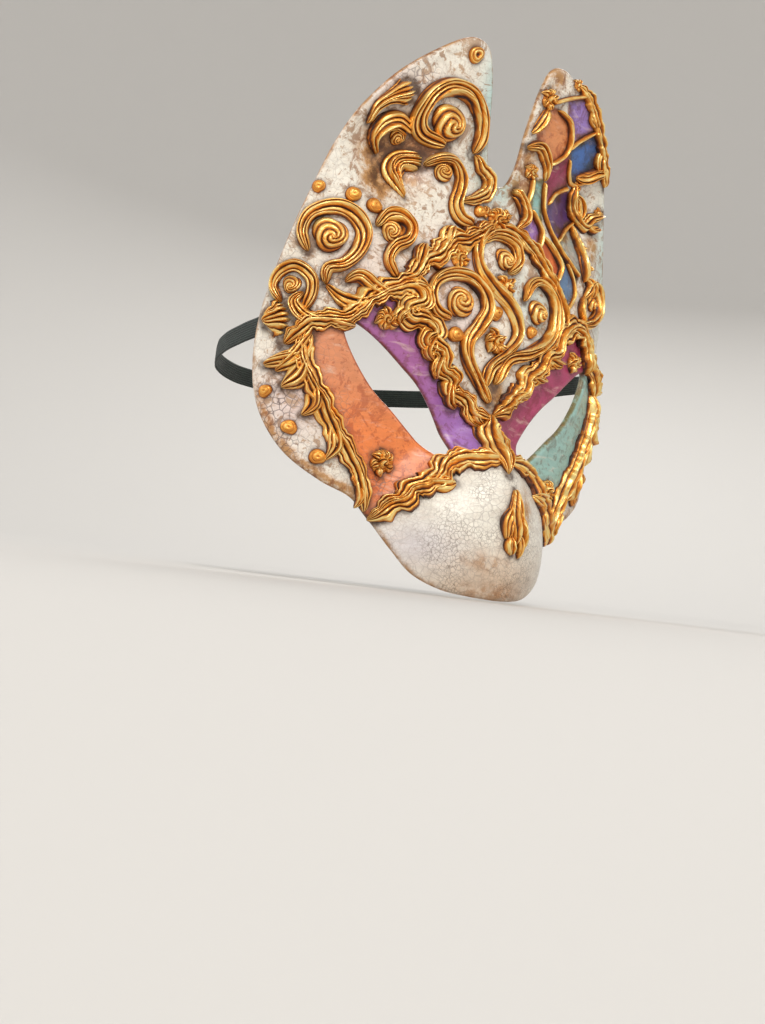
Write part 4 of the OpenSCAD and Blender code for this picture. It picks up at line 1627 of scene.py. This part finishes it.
@dataclass
class MacheShell:
    """The papier-mache face, with two ears, two eye openings and a short muzzle."""

    plan: PaintPlan
    spacing: float = 1.15
    rim: float = 1.25
    gilding: np.ndarray = field(default_factory=lambda: np.zeros((0, 3)))

    def loops(self) -> list[np.ndarray]:
        """Returns the edge of the mask and of each eye opening, in (u, v)."""
        half = smooth(OUTLINE, 8)
        whole = np.concatenate([half, (half * [-1, 1])[-2:0:-1]])
        found = []
        for loop in (whole, FORM.eye_edge(Side.RIGHT), FORM.eye_edge(Side.LEFT)):
            closed = even(np.concatenate([loop, loop[:1]]), self.spacing)[:-1]
            found.append(closed)
        return found

    def flat_sheet(self) -> tuple[np.ndarray, np.ndarray, np.ndarray, np.ndarray]:
        """Lays out the face flat, as triangles in (u, v).

        Returns:
            The places, their triangles, their distance from the nearest edge and from the
            outer edge.
        """
        edges = self.loops()
        points: list[np.ndarray] = []
        links: list[tuple[int, int]] = []
        for k, loop in enumerate(edges):
            first = sum(len(p) for p in points)
            way = np.roll(loop, -1, axis=0) - np.roll(loop, 1, axis=0)
            way /= np.linalg.norm(way, axis=1, keepdims=True)
            inward = np.column_stack([-way[:, 1], way[:, 0]])
            if not (inside(loop + 0.4 * inward, loop).mean() > 0.5) ^ (k > 0):
                inward = -inward
            points.append(loop)
            links += [(first + i, first + (i + 1) % len(loop)) for i in range(len(loop))]
            for angle in (22.5, 45.0, 67.5, 90.0):
                offset = self.rim * (1.0 - math.cos(math.radians(angle)))
                points.append(loop + inward * offset)
        rows = np.arange(-80.0, 156.0, self.spacing * 0.866)
        grid = []
        for i, v in enumerate(rows):
            u = np.arange(-106.0, 106.0, self.spacing) + (self.spacing / 2 if i % 2 else 0.0)
            grid.append(np.column_stack([u, np.full(len(u), v)]))
        grid_points = np.concatenate(grid)
        keep = inside(grid_points, edges[0])
        keep &= ~inside(grid_points, edges[1]) & ~inside(grid_points, edges[2])
        grid_points = grid_points[keep]
        away = np.min([edge_distance(grid_points, loop) for loop in edges], axis=0)
        points.append(grid_points[away > self.rim + 0.55 * self.spacing])
        places = np.concatenate(points)
        spots, _, faces, *_ = geometry.delaunay_2d_cdt(
            [Vector(p) for p in places], links, [], 0, 1e-5)
        flat = np.array([tuple(p) for p in spots])
        triangles = np.array([f for f in faces if len(f) == 3])
        middle = flat[triangles].mean(axis=1)
        keep = inside(middle, edges[0]) & ~inside(middle, edges[1]) & ~inside(middle, edges[2])
        triangles = triangles[keep]
        used = np.unique(triangles)
        order = np.full(len(flat), -1)
        order[used] = np.arange(len(used))
        flat, triangles = flat[used], order[triangles]
        outer = edge_distance(flat, edges[0])
        eyes = np.min([edge_distance(flat, loop) for loop in edges[1:]], axis=0)
        return flat, triangles, np.minimum(outer, eyes), outer

    def wax(self, places: np.ndarray) -> np.ndarray:
        """Returns how much dark wax, with a painted contact shadow, lies at each place beside the
        gilding.
        """
        away = np.full(len(places), 50.0)
        for u, v, radius in self.gilding:
            near = np.hypot(places[:, 0] - u, places[:, 1] - v) - radius
            away = np.minimum(away, near)
        return 0.9 * np.exp(-np.clip(away + 0.25, 0.0, None) / 0.6)

    def build(self, paint: bpy.types.Material, paper: bpy.types.Material) -> bpy.types.Object:
        """Models the face, paints it and lines it with raw paper.

        Args:
            paint: Finish of the outside.
            paper: Finish of the inside.

        Returns:
            The face.
        """
        flat, triangles, nearest, outer = self.flat_sheet()
        u, v = flat[:, 0], flat[:, 1]
        edge = np.clip(self.rim - nearest, 0.0, self.rim)
        curve = self.rim - np.sqrt(np.maximum(self.rim ** 2 - edge ** 2, 0.0))
        swell = lumps(flat, 0.055, 1.0) + 0.5 * lumps(flat, 0.15, 5.0)
        dents = lumps(flat, 0.07, 21.0) + 0.6 * lumps(flat, 0.2, 8.0)
        quiet = ease((nearest - 0.2) / 4.0)
        roll = 0.45 * hill(nearest - 2.2, 1.6)
        top = -curve + 0.32 * swell * quiet + roll
        bottom = -FORM.wall + curve + 0.3 * dents * quiet
        count = len(flat)
        points = np.concatenate([FORM.lift(u, v, top), FORM.lift(u, v, bottom)])
        faces = np.concatenate([triangles, triangles[:, ::-1] + count])
        mesh = bpy.data.meshes.new("painted_face")
        mesh.from_pydata(points.tolist(), [], faces.tolist())
        face = bpy.data.objects.new("painted_face", mesh)
        bpy.context.collection.objects.link(face)
        colours = self.plan.colours(u, v)
        wear = np.clip(1.0 - outer / 2.2, 0.0, 1.0) * (0.25 + 0.25 * ease((60.0 - v) / 40.0))
        eye_line = 0.55 * np.clip(1.0 - nearest / 1.3, 0.0, 1.0)
        on_cheek = ease((12.0 - v) / 18.0) * ease((v + 48.0) / 14.0)
        grubby = 0.42 * hill(outer - 2.0, 2.4) * on_cheek
        # The stain mark also carries the painted shade of the ear's hollow and the diamonds' edges;
        # the wax mark is dark wax with a painted contact shadow beside the gilding.
        stain_and_shade = np.maximum.reduce([colours["stain_and_shade"], wear, eye_line, grubby])
        marks = {"stain_and_shade": stain_and_shade, "wax": self.wax(flat)}
        marks |= {key: colours[key] for key in ("aged", "craze", "crack")}
        for key, values in marks.items():
            Workbench.mark(mesh, key, np.tile(values, 2))
        layer = mesh.attributes.new("paint", "FLOAT_COLOR", "POINT")
        paints = np.tile(colours["paint"], (2, 1)).reshape(-1)
        layer.data.foreach_set("color", paints.astype(np.float32))
        Workbench.dress(face, paint, paper)
        hidden = (nearest[triangles].min(axis=1) > self.rim).astype(np.int32)
        index = np.concatenate([np.zeros(len(triangles), dtype=np.int32), hidden])
        mesh.polygons.foreach_set("material_index", index)
        Workbench.weld(face)
        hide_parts("shell")
        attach(face, "root")
        LOG.info("painted_face: %d points", len(face.data.vertices))
        return face


# ---------------------------------------------------------------- strap

@dataclass
class ElasticStrap:
    """The flat elastic that goes round the head, glued inside each temple."""

    width: float = 8.0
    thickness: float = 1.0
    half_route: list[tuple[float, float, float]] = field(default_factory=lambda: [
        (80.5, 36, 27), (80.5, 43, 26.5), (80, 52, 25.5), (78, 65, 24), (75, 80, 22),
        (70, 96, 20), (62, 111, 18), (50.5, 125, 16.5), (36, 136, 15), (18.5, 143, 14.5),
        (0, 145.5, 14),
    ])
    glued: list[float] = field(default_factory=lambda: [76.0, 80.0, 84.0])
    glued_height: float = 27.0
    glued_depth: float = -3.15

    def path(self) -> np.ndarray:
        """Returns the middle line of the strap, from under one patch to under the other."""
        u = np.array(self.glued)
        height, depth = np.full(len(u), self.glued_height), np.full(len(u), self.glued_depth)
        under = FORM.lift(u, height, depth) / MM
        half = np.concatenate([under, np.array(self.half_route, dtype=float)])
        other = half[-2::-1] * [-1, 1, 1]
        return even(smooth(np.concatenate([half, other]).tolist(), 8), 1.0)

    def build(self, finish: bpy.types.Material) -> bpy.types.Object:
        """Args:
            finish: The woven elastic.

        Returns:
            The strap.
        """
        path = self.path()
        run = run_along(path)
        way = np.gradient(path, axis=0)
        way /= np.linalg.norm(way, axis=1, keepdims=True)
        flat = np.cross(way, [0, 0, 1.0])
        flat /= np.linalg.norm(flat, axis=1, keepdims=True)
        rise = np.cross(flat, way)
        share = np.linspace(-1.0, 1.0, 13)
        thick = self.thickness / 2 * (1 - 0.45 * np.abs(share) ** 6)
        ribs = 1.0 + 0.1 * np.cos(share * math.pi * 6)
        outline = [(w * self.width / 2, t * r) for w, t, r in zip(share, thick, ribs)]
        outline += [(w, -t) for w, t in reversed(outline)]
        outline.append(outline[0])
        ring = np.array(outline)
        wave = 0.12 * np.sin(run / 7.0) + 0.08 * np.sin(run / 2.9 + 1.0)
        points = (path[:, None, :] + rise[:, None, :] * ring[None, :, 0:1]
                  + flat[:, None, :] * (ring[None, :, 1:2] + wave[:, None, None]))
        points = with_ends(points, path[:1, None, :], path[-1:, None, :]) * MM
        along = np.concatenate([run[:1], run, run[-1:]])
        uv = lay_of(along[:, None], ring[None, :, 0])
        strap = Workbench.grid("elastic_band", points, uv, {})
        Workbench.weld(strap)
        Workbench.dress(strap, finish)
        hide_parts("elastic_strap")
        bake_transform(strap)
        LOG.info("elastic_band: %.0f mm long", run[-1])
        return strap


@dataclass
class StrapPatch:
    """A square of paper glued over one end of the elastic."""

    side: Side
    u_range: Place = (74.0, 87.0)
    v_range: Place = (19.0, 35.0)
    depth: float = 1.8
    bow: float = 0.10
    tear: float = 0.03
    strap_height: float = 27.0
    strap_spread: float = 4.2

    def build(self, finish: bpy.types.Material) -> bpy.types.Object:
        """Models the patch against the inside of the temple.

        Args:
            finish: The glued paper.

        Returns:
            The patch.
        """
        name = self.side.name.lower()
        rows, columns = 30, 26
        a, b = np.meshgrid(np.linspace(-1, 1, rows), np.linspace(-1, 1, columns), indexing="ij")
        places = np.column_stack([a.ravel(), b.ravel()])
        torn = lumps(places, 2.2, 4.0 + self.side.value).reshape(a.shape)
        round_a = a * np.sqrt(1 - self.bow * b ** 2) * (1 + self.tear * torn)
        round_b = b * np.sqrt(1 - self.bow * a ** 2) * (1 + self.tear * torn)
        (u_low, u_high), (v_low, v_high) = self.u_range, self.v_range
        u = self.side.value * ((u_low + u_high) / 2 + round_b * (u_high - u_low) / 2)
        v = (v_low + v_high) / 2 + round_a * (v_high - v_low) / 2
        border = 1 - np.maximum(np.abs(a), np.abs(b)) ** 8
        over_strap = hill(v - self.strap_height, self.strap_spread)
        proud = self.depth * (0.62 + 0.38 * over_strap) + 0.4
        low = -FORM.wall + 0.5 - border * proud + 0.12 * torn
        back = np.full_like(low, -FORM.wall + 0.6)
        height = np.concatenate([low, back[::-1]])
        u_all, v_all = np.concatenate([u, u[::-1]]), np.concatenate([v, v[::-1]])
        height = np.concatenate([height, height[:1]])
        u_all, v_all = np.concatenate([u_all, u_all[:1]]), np.concatenate([v_all, v_all[:1]])
        points = FORM.lift(u_all, v_all, height)
        uv = np.stack([u_all, v_all], axis=-1) * MM
        patch = Workbench.grid(f"paper_patch_{name}", points, uv, {})
        Workbench.weld(patch)
        self.close_sides(patch)
        Workbench.dress(patch, finish)
        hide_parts(f"strap_patch_{name}")
        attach(patch, "root")
        return patch

    @staticmethod
    def close_sides(patch: bpy.types.Object) -> None:
        """Sews up the two open sides of the patch."""
        Workbench.only(patch)
        bpy.ops.object.mode_set(mode="EDIT")
        bpy.ops.mesh.select_all(action="DESELECT")
        bpy.ops.mesh.select_mode(type="EDGE")
        bpy.ops.mesh.select_non_manifold()
        bpy.ops.mesh.edge_face_add()
        bpy.ops.mesh.select_all(action="SELECT")
        bpy.ops.mesh.quads_convert_to_tris()
        bpy.ops.mesh.normals_make_consistent(inside=False)
        bpy.ops.object.mode_set(mode="OBJECT")


# ---------------------------------------------------------------- studio

@dataclass(frozen=True)
class Viewpoint:
    """Where the camera stands, and how it is turned."""

    azimuth: float = math.radians(37.8)
    elevation: float = math.radians(2.0)
    roll: float = math.radians(6.9)
    distance: float = 0.7305
    aim_right: float = -0.03975
    aim_up: float = -0.0377
    aim_back: float = 0.0046
    lens: float = 84.7
    film: float = 36.0

    def build(self) -> bpy.types.Object:
        """Sets up the camera."""
        reach = math.cos(self.elevation)
        ahead = Vector((math.sin(self.azimuth) * reach, math.cos(self.azimuth) * reach,
                        math.sin(self.elevation)))
        level = ahead.cross(Vector((0, 0, 1))).normalized()
        upright = level.cross(ahead)
        right = level * math.cos(self.roll) + upright * math.sin(self.roll)
        up = upright * math.cos(self.roll) - level * math.sin(self.roll)
        aim = right * self.aim_right + up * self.aim_up + Vector((0, self.aim_back, 0))
        data = bpy.data.cameras.new("camera")
        data.lens, data.sensor_width, data.sensor_fit = self.lens, self.film, "HORIZONTAL"
        data.clip_start, data.clip_end = 0.01, 20.0
        camera = bpy.data.objects.new("camera", data)
        turned = Matrix((right, up, -ahead)).transposed().to_4x4()
        camera.matrix_world = Matrix.Translation(aim - ahead * self.distance) @ turned
        bpy.context.collection.objects.link(camera)
        bpy.context.scene.camera = camera
        return camera


LAMP_AIM = Vector((0, 0.03, 0.04))


@dataclass(frozen=True)
class Lamp:
    """A soft square light that faces the mask."""

    name: str
    place: tuple[float, float, float]
    size: float
    power: float
    colour: tuple[float, float, float] = (1.0, 1.0, 1.0)

    def hang(self) -> None:
        """Hangs the light in its place."""
        data = bpy.data.lights.new(self.name, "AREA")
        data.shape, data.size = "SQUARE", self.size
        data.energy, data.color = self.power, self.colour
        lamp = bpy.data.objects.new(self.name, data)
        place = Vector(self.place)
        turn = (place - LAMP_AIM).to_track_quat("Z", "Y").to_matrix().to_4x4()
        lamp.matrix_world = Matrix.Translation(place) @ turn
        bpy.context.collection.objects.link(lamp)


@dataclass
class Studio:
    """A plain pale floor that curves up all round, large soft lights and a dim sky."""

    flat: float = 1.5
    bend: float = 1.9
    rise: float = 3.2
    gap: float = 0.0002
    sky_colour: tuple[float, float, float, float] = (0.93, 0.95, 1.0, 1.0)
    sky_strength: float = 0.5
    lamps: tuple[Lamp, ...] = (
        Lamp("key", (-1.5, -2.2, 2.3), 1.0, 50.0, (1.0, 0.97, 0.93)),
        Lamp("fill", (1.9, -2.4, 0.9), 1.4, 16.0, (0.95, 0.97, 1.0)),
        Lamp("spark", (-1.1, -2.3, 1.7), 0.25, 16.0, (1.0, 0.96, 0.9)),
        Lamp("rim", (-1.9, 1.5, 1.6), 1.2, 26.0),
        Lamp("back", (1.6, 1.6, 1.5), 1.2, 21.0),
    )

    def floor(self, finish: bpy.types.Material) -> bpy.types.Object:
        """Models the floor and backdrop as one round sheet."""
        level = CAD_BOX[0][2] - self.gap
        curve = [(0.0, 0.0), (0.5, 0.0), (0.9, 0.0), (self.flat, 0.0)]
        curve += [(self.flat + self.bend * math.sin(a), self.bend * (1 - math.cos(a)))
                  for a in np.linspace(0.03, math.pi / 2, 40)]
        curve.append((self.flat + self.bend, self.rise))
        angle = np.linspace(0.0, 2 * math.pi, 73)
        reach, height = np.array(curve).T
        points = np.stack([
            reach[:, None] * np.cos(angle), reach[:, None] * np.sin(angle),
            np.repeat(level + height[:, None], len(angle), axis=1),
        ], axis=-1)
        sheet = Workbench.grid("studio_floor", points, points[..., :2], {})
        Workbench.weld(sheet)
        Workbench.dress(sheet, finish)
        return sheet

    def build(self, finish: bpy.types.Material) -> None:
        """Sets up the floor, the lights and the sky."""
        self.floor(finish)
        for lamp in self.lamps:
            lamp.hang()
        world = bpy.data.worlds.new("soft_sky")
        world.use_nodes = True
        sky = world.node_tree.nodes["Background"]
        sky.inputs["Color"].default_value = self.sky_colour
        sky.inputs["Strength"].default_value = self.sky_strength
        bpy.context.scene.world = world
        bpy.context.scene.view_settings.view_transform = "Standard"


def main() -> None:
    """Builds the camera, the strap, the face, the gilding and the studio."""
    logging.basicConfig(level=logging.INFO, format="%(message)s")
    Viewpoint().build()
    ElasticStrap().build(WovenElastic().make())
    groups: list[PasteWork] = [Ropes(), RightEar(), RightTemple(), Forehead(), LeftSide()]
    shapes = [shape for group in groups for found in group.nodes.values() for shape in found]
    gilding = np.concatenate([shape.footprint() for shape in shapes])
    MacheShell(PaintPlan(), gilding=gilding).build(PaintedMache().make(), RawPaper().make())
    gold = GildedPaste().make()
    for group in groups:
        group.build(gold)
    paper = GluedPaper().make()
    for side in Side:
        StrapPatch(side).build(paper)
    Studio().build(PlainStudio().make())


if __name__ == "__main__":
    main()
